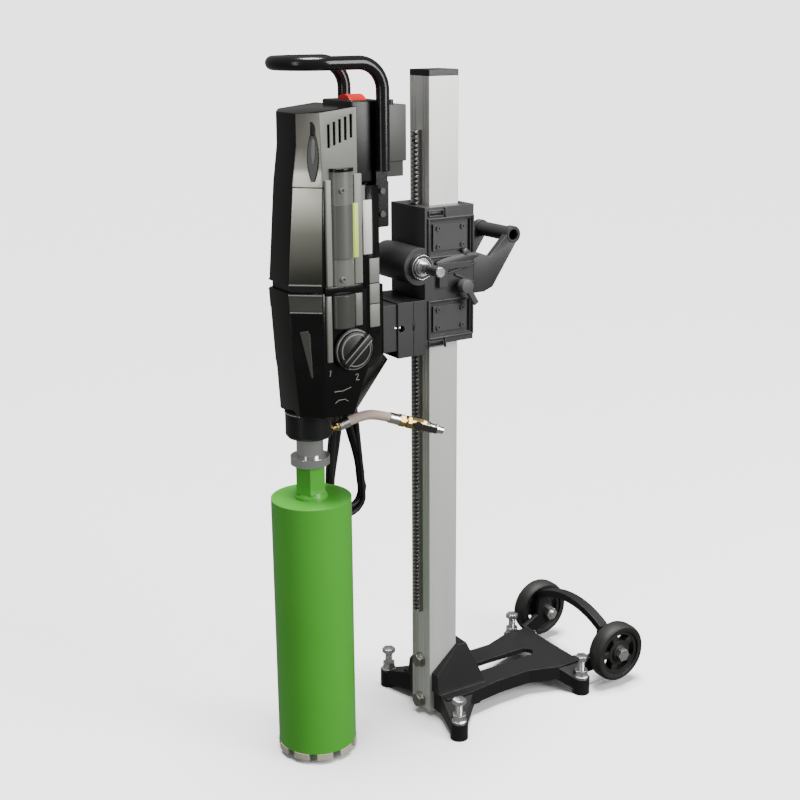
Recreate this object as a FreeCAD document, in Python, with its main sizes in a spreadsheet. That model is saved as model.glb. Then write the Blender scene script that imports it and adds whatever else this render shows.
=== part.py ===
"""Core drill rig: a rack-and-pinion drill stand with a two-speed wet core drill motor.

The stand is a square extruded column on a cast base with four levelling screws and two
transport wheels.  A carriage runs on the column, driven by a hand-cranked pinion.  It
carries the motor, whose spindle turns a core barrel.

Frame: +Z up, -X is the drilling side, +X the wheel side, y = 0 is the plane of symmetry.
Every driving size is a cell of the sheet "Dims", in millimetres unless its note says
otherwise.  Pieces are written about the column's axis and moved by FRAME_X, which puts
the origin at the middle of the whole rig's footprint, on the floor.
"""
import FreeCAD, Part
import math
import os
import Sketcher
from FreeCAD import Placement, Rotation, Vector

SIZES = [
    ("column_side", 50, "square extrusion, outside"),
    ("column_wall", 4, "wall of the extrusion"),
    ("column_length", 992, "length of the extrusion"),
    ("column_bottom", 8, "height of its lower end above the floor"),
    ("cap_height", 9, "part of the end cap that stands above the column"),
    ("cap_plug", 14, "part of the end cap inside the column"),
    ("rack_pitch", 6.2832, "module 2 tooth spacing"),
    ("rack_module", 2, "module of rack and pinion"),
    ("rack_teeth", 119, "number of rack teeth"),
    ("rack_bottom", 178, "height of the rack's lower end"),
    ("rack_width", 12, "across the teeth"),
    ("rack_height", 11, "from the column to the tooth tips"),
    ("rack_screw_pitch", 180, "spacing of the rack's screws"),
    ("column_bolt_low", 21, "height of the lower bolt through the column"),
    ("column_bolt_high", 91, "height of the upper bolt"),
    ("column_bolt_radius", 6, "M12 shank"),
    ("column_washer_radius", 12, "its washer"),
    ("washer_thickness", 2.5, "all M12 washers"),
    ("bolt_head", 7.5, "M12 hex head thickness"),
    ("hex_across", 19, "M12 hex, across the flats"),
    ("nut_height", 10.8, "M12 nut"),
    ("deck_top", 45, "top of the base plate"),
    ("deck_under", 22, "lower edge of the base plate's skirt"),
    ("deck_skin", 8, "thickness of the base plate's deck"),
    ("skirt_wall", 7, "thickness of its skirt"),
    ("waist_half", 56, "half width of the base plate at its waist"),
    ("boss_radius", 14, "levelling bosses"),
    ("boss_height", 28, "levelling bosses, from the floor"),
    ("front_boss_x", -22, "front bosses from the column axis"),
    ("front_boss_y", 103, "front bosses from the middle"),
    ("rear_boss_x", 230, "rear bosses from the column axis"),
    ("rear_boss_y", 95, "rear bosses from the middle"),
    ("rear_edge", 244, "rear edge of the base plate"),
    ("slot_width", 26, "anchor slot"),
    ("slot_start", 71, "front end of the anchor slot"),
    ("slot_end", 200, "rear end of the anchor slot"),
    ("screw_radius", 6, "M12 levelling screw"),
    ("screw_top", 67, "top of the levelling screws' heads"),
    ("screw_tip", 2, "their tips above the floor"),
    ("bolt_play", 0.3, "bolts in clearance holes, on the radius"),
    ("thread_gap", 0.08, "running fit of every shaft and screw, on the radius"),
    ("bracket_half", 32, "column socket, half width at its top"),
    ("bracket_foot", 46, "column socket, half width at the deck"),
    ("bracket_rear", 70, "rear foot of the column socket"),
    ("bracket_low", 76, "height of the socket at its front"),
    ("bracket_high", 116, "height of the socket behind the column"),
    ("wheel_x", 297, "axle from the column axis"),
    ("wheel_z", 60, "axle height"),
    ("wheel_radius", 49.5, "transport wheels"),
    ("wheel_width", 28, "transport wheels"),
    ("wheel_inner", 88, "inner face of a wheel from the middle"),
    ("axle_radius", 6, "M12 axle bolts"),
    ("cheek_thickness", 8, "wheel bracket cheeks"),
    ("cheek_inner", 76, "inner face of a cheek from the middle"),
    ("arch_rise", 23, "rise of the arched bar"),
    ("arch_top", 124, "top of the arched bar"),
    ("arch_x", 286, "arched bar from the column axis"),
    ("arch_depth", 12, "arched bar, up and down"),
    ("arch_width", 17, "arched bar, front to back"),
    ("bracket_bolt_radius", 4, "M8 bolts of the wheel bracket"),
    ("bracket_bolt_y", 62, "those bolts from the middle"),
    ("bracket_bolt_z", 34, "height of those bolts"),
    ("carriage_front", 46, "carriage front face ahead of the column axis"),
    ("carriage_rear", 39, "carriage rear face behind the column axis"),
    ("carriage_half", 45, "half width of the carriage"),
    ("carriage_bottom", 620, "underside of the carriage"),
    ("carriage_height", 200, "height of the carriage"),
    ("channel_half", 29, "half width of the channel for the column"),
    ("pad_gap", 0.3, "gap between guide pads and column"),
    ("pad_height", 36, "guide pads"),
    ("pad_width", 30, "guide pads"),
    ("pinion_teeth", 20, "feed pinion"),
    ("pinion_z", 737, "height of the feed shaft"),
    ("pinion_case_radius", 27, "case round the pinion"),
    ("flange_radius", 18, "bearing flange"),
    ("flange_thickness", 6, "bearing flange"),
    ("feed_shaft_radius", 10.5, "feed shaft"),
    ("stub_radius", 7.75, "crank stub of the feed shaft"),
    ("stub_start", 54, "crank stub's shoulder from the middle"),
    ("stub_end", 98, "crank stub's end from the middle"),
    ("plate_width", 59, "side cover plates"),
    ("plate_height", 38, "side cover plates"),
    ("plate_thickness", 3, "side cover plates"),
    ("plate_low_z", 657, "middle of the lower side plates"),
    ("plate_high_z", 776, "middle of the upper side plates"),
    ("plate_x", -1.5, "middle of the side plates from the column axis"),
    ("plate_inset", 21, "their screws from the middle, along x"),
    ("plate_drop", 13, "their screws from the middle, up and down"),
    ("grip_x", 112, "carry grip from the column axis"),
    ("grip_z", 768, "carry grip height"),
    ("grip_radius", 11, "carry grip, outside"),
    ("grip_wall", 3, "carry grip tube"),
    ("arm_thickness", 11, "carry handle arms"),
    ("knob_x", 15, "lock knob from the column axis"),
    ("knob_z", 704, "lock knob height"),
    ("spindle_x", -216, "spindle axis from the column axis"),
    ("barrel_radius", 59, "core barrel, outside"),
    ("barrel_wall", 3, "core barrel tube"),
    ("barrel_top", 408, "top of the core barrel's crown"),
    ("crown_thickness", 5, "core barrel's crown"),
    ("segment_height", 10, "diamond segments"),
    ("segment_bottom", 7, "lower end of the segments"),
    ("segment_count", 10, "diamond segments"),
    ("segment_length", 24, "along the rim"),
    ("segment_wall", 4.5, "radial thickness"),
    ("hub_across", 41, "hex of the barrel's hub"),
    ("hub_top", 460, "top of the hub"),
    ("collar_radius", 28.5, "spindle flange"),
    ("collar_thickness", 12, "spindle flange"),
    ("spindle_radius", 19.5, "spindle below the nose"),
    ("spindle_thread", 15.9, "1 1/4 inch thread"),
    ("nose_bottom", 502, "lower end of the nose collar"),
    ("nose_radius", 34.4, "nose collar"),
    ("gearbox_bottom", 541, "lower end of the gear housing"),
    ("gearbox_top", 719, "upper end of the gear housing"),
    ("bearing_plate", 10, "plate between gearbox and motor"),
    ("motor_seam", 862, "joint of motor housing and motor cap"),
    ("motor_top", 966, "top of the motor cap"),
    ("motor_half", 58, "half width of the motor"),
    ("shell_wall", 4, "wall of the motor and gear housings"),
    ("armature_x", -190, "armature axis from the column axis"),
    ("wheel_teeth", 24, "countershaft wheel"),
    ("armature_teeth", 8, "teeth cut in the armature shaft"),
    ("input_module", 1.5, "module of that pair"),
    ("output_module", 2, "module of the two output pairs"),
    ("low_pinion_teeth", 14, "first speed, countershaft"),
    ("low_gear_teeth", 22, "first speed, spindle"),
    ("high_pinion_teeth", 17, "second speed, countershaft"),
    ("high_gear_teeth", 19, "second speed, spindle"),
    ("selector_x", -176, "gear selector from the column axis"),
    ("selector_z", 636, "gear selector height"),
    ("handle_radius", 9.3, "bent tube handle"),
    ("handle_wall", 2, "its wall"),
    ("handle_x", -118, "legs of the handle from the column axis"),
    ("handle_half", 51.5, "legs from the middle"),
    ("handle_top", 1022, "height of the handle's tube"),
    ("handle_bend", 37, "bend radius of the handle"),
    ("handle_reach", -199, "centre of the handle's front bend"),
    ("handle_low", 800, "lower end of the handle's legs"),
    ("cable_diameter", 8.5, "mains lead"),
    ("hose_diameter", 14.5, "braided water hose"),
    ("hank_width", 70, "coiled mains lead, from side to side"),
    ("hank_depth", 26, "coiled mains lead, front to back"),
    ("hank_low", 330, "lower end of the coiled mains lead"),
    ("controls_low", 862, "underside of the switch housing"),
    ("switch_depth", 48.8, "switch housing, front to back"),
    ("switch_width", 80, "switch housing, from side to side"),
    ("switch_height", 110, "switch housing"),
    ("rocker_width", 26, "switch rocker, front to back"),
    ("box_depth", 44, "electronics box, front to back"),
    ("box_width", 64, "electronics box, from side to side"),
    ("box_height", 77, "electronics box, above its neck"),
    ("box_low", 887, "top of the neck of the electronics box"),
    ("button_radius", 5.2, "reset button"),
]

DOC = FreeCAD.newDocument("core_drill_rig")
SHEET = DOC.addObject("Spreadsheet::Sheet", "Dims")
for row, (alias, value, note) in enumerate(SIZES, start=1):
    SHEET.set(f"A{row}", alias)
    SHEET.set(f"B{row}", str(value))
    SHEET.setAlias(f"B{row}", alias)
    SHEET.set(f"C{row}", note)
DOC.recompute()

PIECES = []
FRAME_X = "(Dims.barrel_radius + 1.5 - Dims.spindle_x - Dims.wheel_x - Dims.wheel_radius) / 2"


def size(alias):
    """The value of one driving size."""
    return float(getattr(SHEET, alias))


def frame_x():
    """The shift that FRAME_X binds, as a number."""
    front = size("barrel_radius") + 1.5 - size("spindle_x")
    rear = size("wheel_x") + size("wheel_radius")
    return (front - rear) / 2


# ---------------------------------------------------------------- building blocks

def bind(obj, **expressions):
    """Bind properties of an object to expressions on the sheet."""
    for name, expression in expressions.items():
        obj.setExpression(name, expression)
    return obj


def move(obj, x="0", y="0", z="0", turn=None):
    """Turn an object, then bind its place."""
    if turn is not None:
        obj.Placement = Placement(Vector(), turn)
    for axis, expression in zip("xyz", (x, y, z)):
        obj.setExpression(f"Placement.Base.{axis}", expression)
    return obj


def piece(obj, label, x="0", y="0", z="0", turn=None):
    """Name a finished sub-part and place it in the rig's frame."""
    obj.Label = label
    move(obj, f"{FRAME_X} + {x}", y, z, turn)
    PIECES.append(obj)
    return obj


def shape_piece(label, shape):
    """A sub-part whose shape is worked out here, about the column's axis."""
    feature = DOC.addObject("Part::Feature", label)
    feature.Shape = shape
    own = shape.Placement
    return piece(feature, label, *(f"({value!r})" for value in own.Base), own.Rotation)


ALONG = {
    "Z": Rotation(),
    "X": Rotation(Vector(0, 1, 0), 90),
    "Y": Rotation(Vector(1, 0, 0), -90),
}


def block(name, x, y, z, at=("0", "0", "0")):
    """A box centred on `at` in x and y, and standing on it."""
    box = DOC.addObject("Part::Box", name)
    bind(box, Length=x, Width=y, Height=z)
    return move(box, f"{at[0]} - ({x}) / 2", f"{at[1]} - ({y}) / 2", at[2])


def rod(name, radius, length, at=("0", "0", "0"), along="Z"):
    """A cylinder that starts at `at`."""
    cylinder = DOC.addObject("Part::Cylinder", name)
    bind(cylinder, Radius=radius, Height=length)
    return move(cylinder, *at, turn=ALONG[along])


def hexagon(name, across, length, at=("0", "0", "0"), along="Z"):
    """A hexagonal prism, sized across its flats."""
    prism = DOC.addObject("Part::Prism", name)
    prism.Polygon = 6
    bind(prism, Circumradius=f"({across}) / sqrt(3)", Height=length)
    return move(prism, *at, turn=ALONG[along])


def fuse(name, parts):
    """Several solids joined."""
    result = DOC.addObject("Part::MultiFuse", name)
    result.Shapes = parts
    return result


def cut(name, base, tools):
    """A solid less one or more others."""
    result = DOC.addObject("Part::Cut", name)
    result.Base = base
    result.Tool = tools[0] if len(tools) == 1 else fuse(name + "_tools", tools)
    return result


def group(name, parts):
    """Separate solids that share one node."""
    result = DOC.addObject("Part::Compound", name)
    result.Links = parts
    return result


def new_body(name):
    """An empty PartDesign body."""
    return DOC.addObject("PartDesign::Body", name)


def sketch(body, role, name, offset=None):
    """A sketch on one of the body's own origin planes."""
    result = body.newObject("Sketcher::SketchObject", name)
    plane = next(f for f in body.Origin.OriginFeatures if f.Role == role)
    result.AttachmentSupport = [(plane, "")]
    result.MapMode = "FlatFace"
    if offset is not None:
        result.setExpression("AttachmentOffset.Base.z", offset)
    return result


def draw_outline(target, points):
    """A closed outline whose corners are bound to pairs of expressions."""
    count = len(points)
    spots = []
    for i in range(count):
        angle = 2 * math.pi * i / count
        spots.append(Vector(40 * math.cos(angle), 40 * math.sin(angle), 0))
    first = target.GeometryCount
    for i in range(count):
        target.addGeometry(Part.LineSegment(spots[i], spots[(i + 1) % count]), False)
    for i in range(count):
        following = first + (i + 1) % count
        target.addConstraint(Sketcher.Constraint("Coincident", first + i, 2, following, 1))
    for i, pair in enumerate(points):
        for kind, expression in zip(("DistanceX", "DistanceY"), pair):
            here = target.addConstraint(Sketcher.Constraint(kind, -1, 1, first + i, 1, 1.0))
            target.setExpression(f"Constraints[{here}]", expression)


def draw_circle(target, radius, x="0", y="0"):
    """A circle with its radius and centre bound."""
    circle = target.addGeometry(Part.Circle(Vector(1, 1, 0), Vector(0, 0, 1), 5), False)
    here = target.addConstraint(Sketcher.Constraint("Radius", circle, 5.0))
    target.setExpression(f"Constraints[{here}]", radius)
    for kind, expression in (("DistanceX", x), ("DistanceY", y)):
        here = target.addConstraint(Sketcher.Constraint(kind, -1, 1, circle, 3, 1.0))
        target.setExpression(f"Constraints[{here}]", expression)


def pad(body, profile, length, name, both_ways=False):
    """A pad on a sketch."""
    feature = body.newObject("PartDesign::Pad", name)
    feature.Profile = profile
    feature.setExpression("Length", length)
    if both_ways:
        feature.Midplane = True
    return feature


def pocket_through(body, profile, name):
    """A pocket right through the body, both ways from its sketch."""
    feature = body.newObject("PartDesign::Pocket", name)
    feature.Profile = profile
    feature.Type = "ThroughAll"
    feature.Midplane = True
    return feature


def turned(name, points):
    """A body of revolution about Z, from (radius, height) pairs."""
    body = new_body(name)
    profile = sketch(body, "XZ_Plane", name + "_profile")
    draw_outline(profile, points)
    feature = body.newObject("PartDesign::Revolution", name + "_revolution")
    feature.Profile = profile
    feature.ReferenceAxis = (profile, ["V_Axis"])
    feature.Angle = 360
    return body


def ring(name, outer, inner, height, at=("0", "0", "0"), along="Z"):
    """A plain ring, such as a bearing or washer."""
    body = new_body(name)
    profile = sketch(body, "XY_Plane", name + "_profile")
    draw_circle(profile, outer)
    draw_circle(profile, inner)
    pad(body, profile, height, name + "_pad")
    return move(body, *at, turn=ALONG[along])


# ---------------------------------------------------------------- column and rack

def make_column():
    """Square aluminium extrusion with shallow grooves down its front."""
    body = new_body("column_body")
    section = sketch(body, "XY_Plane", "column_section")
    half = "Dims.column_side / 2"
    inner = "(Dims.column_side / 2 - Dims.column_wall)"
    for reach in (half, inner):
        draw_outline(section, [(f"-{reach}", f"-{reach}"), (reach, f"-{reach}"),
                               (reach, reach), (f"-{reach}", reach)])
    pad(body, section, "Dims.column_length", "column_pad")
    grooves = sketch(body, "XY_Plane", "column_grooves")
    for sign in ("-", ""):
        for near, far in (("9", "12"), ("16", "19")):
            draw_outline(grooves, [("-Dims.column_side / 2 - 1", f"{sign}{near}"),
                                   ("-Dims.column_side / 2 + 0.8", f"{sign}{near}"),
                                   ("-Dims.column_side / 2 + 0.8", f"{sign}{far}"),
                                   ("-Dims.column_side / 2 - 1", f"{sign}{far}")])
    pocket_through(body, grooves, "column_groove_pocket")
    holes = [rod(f"column_hole_{i}", "Dims.column_bolt_radius", "Dims.column_side + 4",
                 ("-Dims.column_side / 2 - 2", "0", f"{height} - Dims.column_bottom"), "X")
             for i, height in enumerate(("Dims.column_bolt_low", "Dims.column_bolt_high"))]
    piece(cut("column_cut", body, holes), "column", z="Dims.column_bottom")


def make_column_cap():
    """Moulded cap with a square plug."""
    top = block("cap_top", "Dims.column_side", "Dims.column_side", "Dims.cap_height",
                ("0", "0", "Dims.cap_plug"))
    plug_side = "Dims.column_side - 2 * Dims.column_wall"
    plug = block("cap_plug_block", plug_side, plug_side, "Dims.cap_plug")
    piece(fuse("cap_fuse", [top, plug]), "column_cap",
          z="Dims.column_bottom + Dims.column_length - Dims.cap_plug")


def make_rack():
    """Steel rack with 20 degree teeth, on the front of the column."""
    module = size("rack_module")
    pitch = size("rack_pitch")
    tip = -size("column_side") / 2 - size("rack_height")
    root = tip + 2.25 * module
    back = -size("column_side") / 2
    slope = math.tan(math.radians(20))
    half_tip = pitch / 4 - slope * module - 0.05
    half_root = pitch / 4 + slope * 1.25 * module - 0.05
    points = [Vector(back, 0, size("rack_bottom"))]
    for tooth in range(int(size("rack_teeth"))):
        middle = size("rack_bottom") + pitch * (tooth + 0.5)
        points += [Vector(root, 0, middle - half_root), Vector(tip, 0, middle - half_tip),
                   Vector(tip, 0, middle + half_tip), Vector(root, 0, middle + half_root)]
    end = size("rack_bottom") + pitch * size("rack_teeth")
    points.insert(1, Vector(root, 0, size("rack_bottom")))
    points += [Vector(root, 0, end), Vector(back, 0, end)]
    face = Part.Face(Part.makePolygon(points + [points[0]]))
    bar = face.extrude(Vector(0, size("rack_width"), 0))
    bar.translate(Vector(0, -size("rack_width") / 2, 0))
    for height in rack_screw_heights():
        hole = Part.makeCylinder(2.7, size("rack_height") + 2, Vector(tip - 1, 0, height),
                                 Vector(1, 0, 0))
        recess = Part.makeCylinder(4.5, 8.6, Vector(tip - 1, 0, height), Vector(1, 0, 0))
        bar = bar.cut(hole.fuse(recess))
    shape_piece("gear_rack", bar)


def rack_screw_heights():
    """Heights of the rack's screws, inside both of its ends."""
    length = size("rack_pitch") * size("rack_teeth")
    count = int((length - 20) // size("rack_screw_pitch")) + 1
    start = size("rack_bottom") + (length - (count - 1) * size("rack_screw_pitch")) / 2
    return [start + i * size("rack_screw_pitch") for i in range(count)]


def make_rack_screws():
    """Socket screws sunk below the roots of the rack's teeth."""
    tip = -size("column_side") / 2 - size("rack_height")
    screws = []
    for height in rack_screw_heights():
        head = Part.makeCylinder(4.3, 2.6, Vector(tip + 5, 0, height), Vector(1, 0, 0))
        shank = Part.makeCylinder(2.5, size("rack_height") - 7.6,
                                  Vector(tip + 7.6, 0, height), Vector(1, 0, 0))
        screws.append(head.fuse(shank))
    shape_piece("rack_screws", Part.makeCompound(screws))


def make_column_bolts():
    """Two long bolts with washers, from the column's front into the socket behind it."""
    bolts = []
    for i, height in enumerate(("Dims.column_bolt_low", "Dims.column_bolt_high")):
        front = "-Dims.column_side / 2 - Dims.washer_thickness"
        head = hexagon(f"column_bolt_head_{i}", "Dims.hex_across", "Dims.bolt_head",
                       (f"{front} - Dims.bolt_head", "0", height), "X")
        washer = rod(f"column_bolt_washer_{i}", "Dims.column_washer_radius",
                     "Dims.washer_thickness", (front, "0", height), "X")
        shank = rod(f"column_bolt_shank_{i}", "Dims.column_bolt_radius",
                    "Dims.column_side + Dims.washer_thickness + 12", (front, "0", height), "X")
        bolts.append(fuse(f"column_bolt_{i}", [head, washer, shank]))
    piece(group("column_bolt_group", bolts), "column_bolts")


# ---------------------------------------------------------------- base

def boss_spots():
    """The four levelling bosses, as names and expressions."""
    return [
        ("front_right", "Dims.front_boss_x", "-Dims.front_boss_y"),
        ("front_left", "Dims.front_boss_x", "Dims.front_boss_y"),
        ("rear_right", "Dims.rear_boss_x", "-Dims.rear_boss_y"),
        ("rear_left", "Dims.rear_boss_x", "Dims.rear_boss_y"),
    ]


def boss_points():
    """The same bosses as numbers."""
    return [(size("front_boss_x"), -size("front_boss_y")),
            (size("front_boss_x"), size("front_boss_y")),
            (size("rear_boss_x"), -size("rear_boss_y")),
            (size("rear_boss_x"), size("rear_boss_y"))]


def deck_outline(inset):
    """Half outline of the deck from front to rear, pulled in by `inset`."""
    half = size("column_side") / 2
    front_y = size("front_boss_y") - 40
    rear_y = size("rear_boss_y") - 22
    rear = size("rear_edge") - inset
    return [(-half + 8 + inset, front_y - inset), (34, front_y - inset),
            (92, size("waist_half") - inset), (150, size("waist_half") - inset),
            (200, rear_y - inset), (rear, rear_y - inset)]


def deck_prism(inset, low, high):
    """The deck's outline as a prism."""
    near = [Vector(x, -y, low) for x, y in deck_outline(inset)]
    far = [Vector(x, y, low) for x, y in reversed(deck_outline(inset))]
    corners = near + far
    return Part.Face(Part.makePolygon(corners + [corners[0]])).extrude(Vector(0, 0, high - low))


def arm_to(x, y):
    """A tapering arm from the deck down to one boss."""
    sign = 1 if y > 0 else -1
    reach = size("boss_radius") * 0.9
    front = x < 100
    deck_y = sign * (size("front_boss_y") - 58 if front else size("rear_boss_y") - 28)
    width = (-size("column_side") / 2 + 8, 50) if front else (196, size("rear_edge"))
    low = size("column_bottom") + 4 if front else size("deck_under")
    deck_end = [Vector(width[0], deck_y, low), Vector(width[1], deck_y, low),
                Vector(width[1], deck_y, size("deck_top")),
                Vector(width[0], deck_y, size("deck_top"))]
    boss_low = size("boss_height") - 20
    boss_end = [Vector(x - reach, y, boss_low), Vector(x + reach, y, boss_low),
                Vector(x + reach, y, size("boss_height")),
                Vector(x - reach, y, size("boss_height"))]
    wires = [Part.makePolygon(end + [end[0]]) for end in (deck_end, boss_end)]
    return Part.makeLoft(wires, True, True)


def socket_block():
    """The sloping socket that holds the foot of the column."""
    front = -size("column_side") / 2 + 4
    profile = [(front, size("deck_top")), (front, size("bracket_low")),
               (size("column_side") / 2, size("bracket_high")),
               (size("column_side") / 2 + 16, size("bracket_high")),
               (size("bracket_rear"), size("deck_top"))]
    foot = size("bracket_foot")
    points = [Vector(x, -foot, z) for x, z in profile]
    side = Part.Face(Part.makePolygon(points + [points[0]]))
    wedge = side.extrude(Vector(0, 2 * foot, 0))
    top_half = size("bracket_half")
    cross = [Vector(front - 1, -foot, size("deck_top")), Vector(front - 1, foot, size("deck_top")),
             Vector(front - 1, top_half, size("bracket_high")),
             Vector(front - 1, -top_half, size("bracket_high"))]
    tent = Part.Face(Part.makePolygon(cross + [cross[0]])).extrude(Vector(200, 0, 0))
    return wedge.common(tent)


def make_base():
    """Cast base: deck with skirt, four arms and bosses, column socket, anchor slot."""
    deck = deck_prism(0, size("deck_under"), size("deck_top"))
    hollow = deck_prism(size("skirt_wall"), size("deck_under") - 1,
                        size("deck_top") - size("deck_skin"))
    foot = Part.makeBox(size("column_side") + 24, 2 * size("column_side"), size("deck_top"),
                        Vector(-size("column_side") / 2 + 8, -size("column_side"), 0))
    foot = foot.cut(Part.makeBox(400, 400, size("column_bottom") + 4, Vector(-200, -200, 0)))
    casting = deck.cut(hollow)
    casting = casting.fuse([foot, socket_block()])
    for x, y in boss_points():
        casting = casting.fuse([arm_to(x, y), Part.makeCylinder(
            size("boss_radius"), size("boss_height"), Vector(x, y, 0))])
    side = size("column_side")
    well = Part.makeBox(side, side, 400, Vector(-side / 2, -side / 2, size("column_bottom")))
    length = size("slot_end") - size("slot_start") - size("slot_width")
    half = size("slot_width") / 2
    slot = Part.makeBox(length, 2 * half, 100, Vector(size("slot_start") + half, -half, 0))
    for x in (size("slot_start") + half, size("slot_end") - half):
        slot = slot.fuse(Part.makeCylinder(half, 100, Vector(x, 0, 0)))
    casting = casting.cut(well).cut(slot)
    bore = size("screw_radius") + size("thread_gap")
    for x, y in boss_points():
        casting = casting.cut(Part.makeCylinder(bore, 100, Vector(x, y, -1)))
        casting = casting.cut(Part.makeCylinder(size("boss_radius") - 1, 100,
                                                Vector(x, y, size("boss_height"))))
    for height in (size("column_bolt_low"), size("column_bolt_high")):
        casting = casting.cut(Part.makeCylinder(
            size("column_bolt_radius") + size("bolt_play"), 12,
            Vector(side / 2, 0, height), Vector(1, 0, 0)))
    for sign in (-1, 1):
        casting = casting.cut(Part.makeCylinder(
            size("bracket_bolt_radius") + size("bolt_play"), 20,
            Vector(size("rear_edge") - 18, sign * size("bracket_bolt_y"),
                   size("bracket_bolt_z")), Vector(1, 0, 0)))
    shape_piece("base_casting", casting.removeSplitter())


def make_leveling_screws():
    """Hex-headed screws in the four bosses, each its own moving piece."""
    for name, x, y in boss_spots():
        shank = rod(f"{name}_shank", "Dims.screw_radius",
                    "Dims.screw_top - Dims.bolt_head - Dims.screw_tip",
                    ("0", "0", "Dims.screw_tip"))
        head = hexagon(f"{name}_head", "Dims.hex_across", "Dims.bolt_head",
                       ("0", "0", "Dims.screw_top - Dims.bolt_head"))
        screw = fuse(f"{name}_screw_fuse", [shank, head])
        piece(screw, f"leveling_screw_{name}", x=x, y=y)


def make_locknuts():
    """A nut and a washer on each boss."""
    nuts = []
    bore = "Dims.screw_radius + Dims.thread_gap"
    for name, x, y in boss_spots():
        washer = rod(f"{name}_washer", "Dims.column_washer_radius", "Dims.washer_thickness",
                     (x, y, "Dims.boss_height"))
        nut = hexagon(f"{name}_nut", "Dims.hex_across", "Dims.nut_height",
                      (x, y, "Dims.boss_height + Dims.washer_thickness"))
        hole = rod(f"{name}_nut_bore", bore, "60", (x, y, "Dims.boss_height - 5"))
        nuts.append(cut(f"{name}_locknut", fuse(f"{name}_nut_blank", [washer, nut]), [hole]))
    piece(group("locknut_group", nuts), "leveling_locknuts")


# ---------------------------------------------------------------- wheels

def make_wheel_bracket():
    """Arched bar between two cheeks, bolted to the rear edge of the base."""
    outer = size("cheek_inner") + size("cheek_thickness")
    radius = (outer ** 2 + size("arch_rise") ** 2) / (2 * size("arch_rise"))
    start = size("arch_x") - size("arch_width") / 2
    centre = Vector(start, 0, size("arch_top") - radius)
    along = Vector(1, 0, 0)
    rim = Part.makeCylinder(radius, size("arch_width"), centre, along)
    rim = rim.cut(Part.makeCylinder(radius - size("arch_depth"), size("arch_width"),
                                    centre, along))
    keep = Part.makeBox(size("arch_width"), 2 * outer, size("arch_top"),
                        Vector(start, -outer, size("wheel_z")))
    bracket = rim.common(keep)
    foot_x = size("rear_edge")
    axle_x = size("wheel_x")
    axle_z = size("wheel_z")
    arch_end = size("arch_top") - size("arch_rise")
    side = [(foot_x, axle_z - 35), (foot_x, axle_z - 15), (start - 5, axle_z),
            (start, arch_end - 6), (start + size("arch_width"), arch_end - 6),
            (axle_x + 3, axle_z + 13), (axle_x + 12, axle_z + 5), (axle_x + 12, axle_z - 7),
            (axle_x + 2, axle_z - 12), (foot_x + 20, axle_z - 35)]
    for sign in (-1, 1):
        inner = sign * size("cheek_inner")
        points = [Vector(x, inner, z) for x, z in side]
        cheek = Part.Face(Part.makePolygon(points + [points[0]])).extrude(
            Vector(0, sign * size("cheek_thickness"), 0))
        width = outer - size("bracket_bolt_y") + 9
        low = -outer if sign < 0 else outer - width
        foot = Part.makeBox(6, width, 20, Vector(foot_x, low, size("bracket_bolt_z") - 10))
        hole = Part.makeCylinder(size("bracket_bolt_radius") + size("bolt_play"), 8, Vector(
            foot_x - 1, sign * size("bracket_bolt_y"), size("bracket_bolt_z")), along)
        bore = Part.makeCylinder(size("axle_radius") + size("bolt_play"), 40,
                                 Vector(axle_x, sign * 70, axle_z), Vector(0, sign, 0))
        bracket = bracket.fuse([cheek, foot]).cut(hole.fuse(bore))
    shape_piece("wheel_bracket", bracket)


def bracket_bolts():
    """Hex screws that hold the wheel bracket."""
    bolts = []
    for i, sign in enumerate(("-", "")):
        y = f"{sign}Dims.bracket_bolt_y"
        head = hexagon(f"bracket_bolt_head_{i}", "13", "5.3",
                       ("Dims.rear_edge + 6", y, "Dims.bracket_bolt_z"), "X")
        shank = rod(f"bracket_bolt_shank_{i}", "Dims.bracket_bolt_radius", "20",
                    ("Dims.rear_edge - 14", y, "Dims.bracket_bolt_z"), "X")
        bolts.append(fuse(f"bracket_bolt_{i}", [head, shank]))
    return bolts


def make_wheel_bolts():
    """A hex bolt and a nut for each wheel, and the screws of the wheel bracket."""
    bolts = bracket_bolts()
    outside = "(Dims.wheel_inner + Dims.wheel_width + 0.3)"
    for i, (sign, back) in enumerate((("-", "0"), ("", "Dims.bolt_head"))):
        head = hexagon(f"axle_head_{i}", "Dims.hex_across", "Dims.bolt_head",
                       ("Dims.wheel_x", f"{sign}{outside} - Dims.bolt_head + {back}",
                        "Dims.wheel_z"), "Y")
        length = f"({outside} - Dims.cheek_inner + 14)"
        start = f"-{outside}" if sign else f"{outside} - {length}"
        shank = rod(f"axle_shank_{i}", "Dims.axle_radius", length,
                    ("Dims.wheel_x", start, "Dims.wheel_z"), "Y")
        nut_at = "-Dims.cheek_inner" if sign else "Dims.cheek_inner - Dims.nut_height"
        nut = hexagon(f"axle_nut_{i}", "Dims.hex_across", "Dims.nut_height",
                      ("Dims.wheel_x", nut_at, "Dims.wheel_z"), "Y")
        bolts.append(fuse(f"axle_bolt_{i}", [head, shank, nut]))
    piece(group("wheel_bolt_group", bolts), "wheel_bolts")


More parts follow.
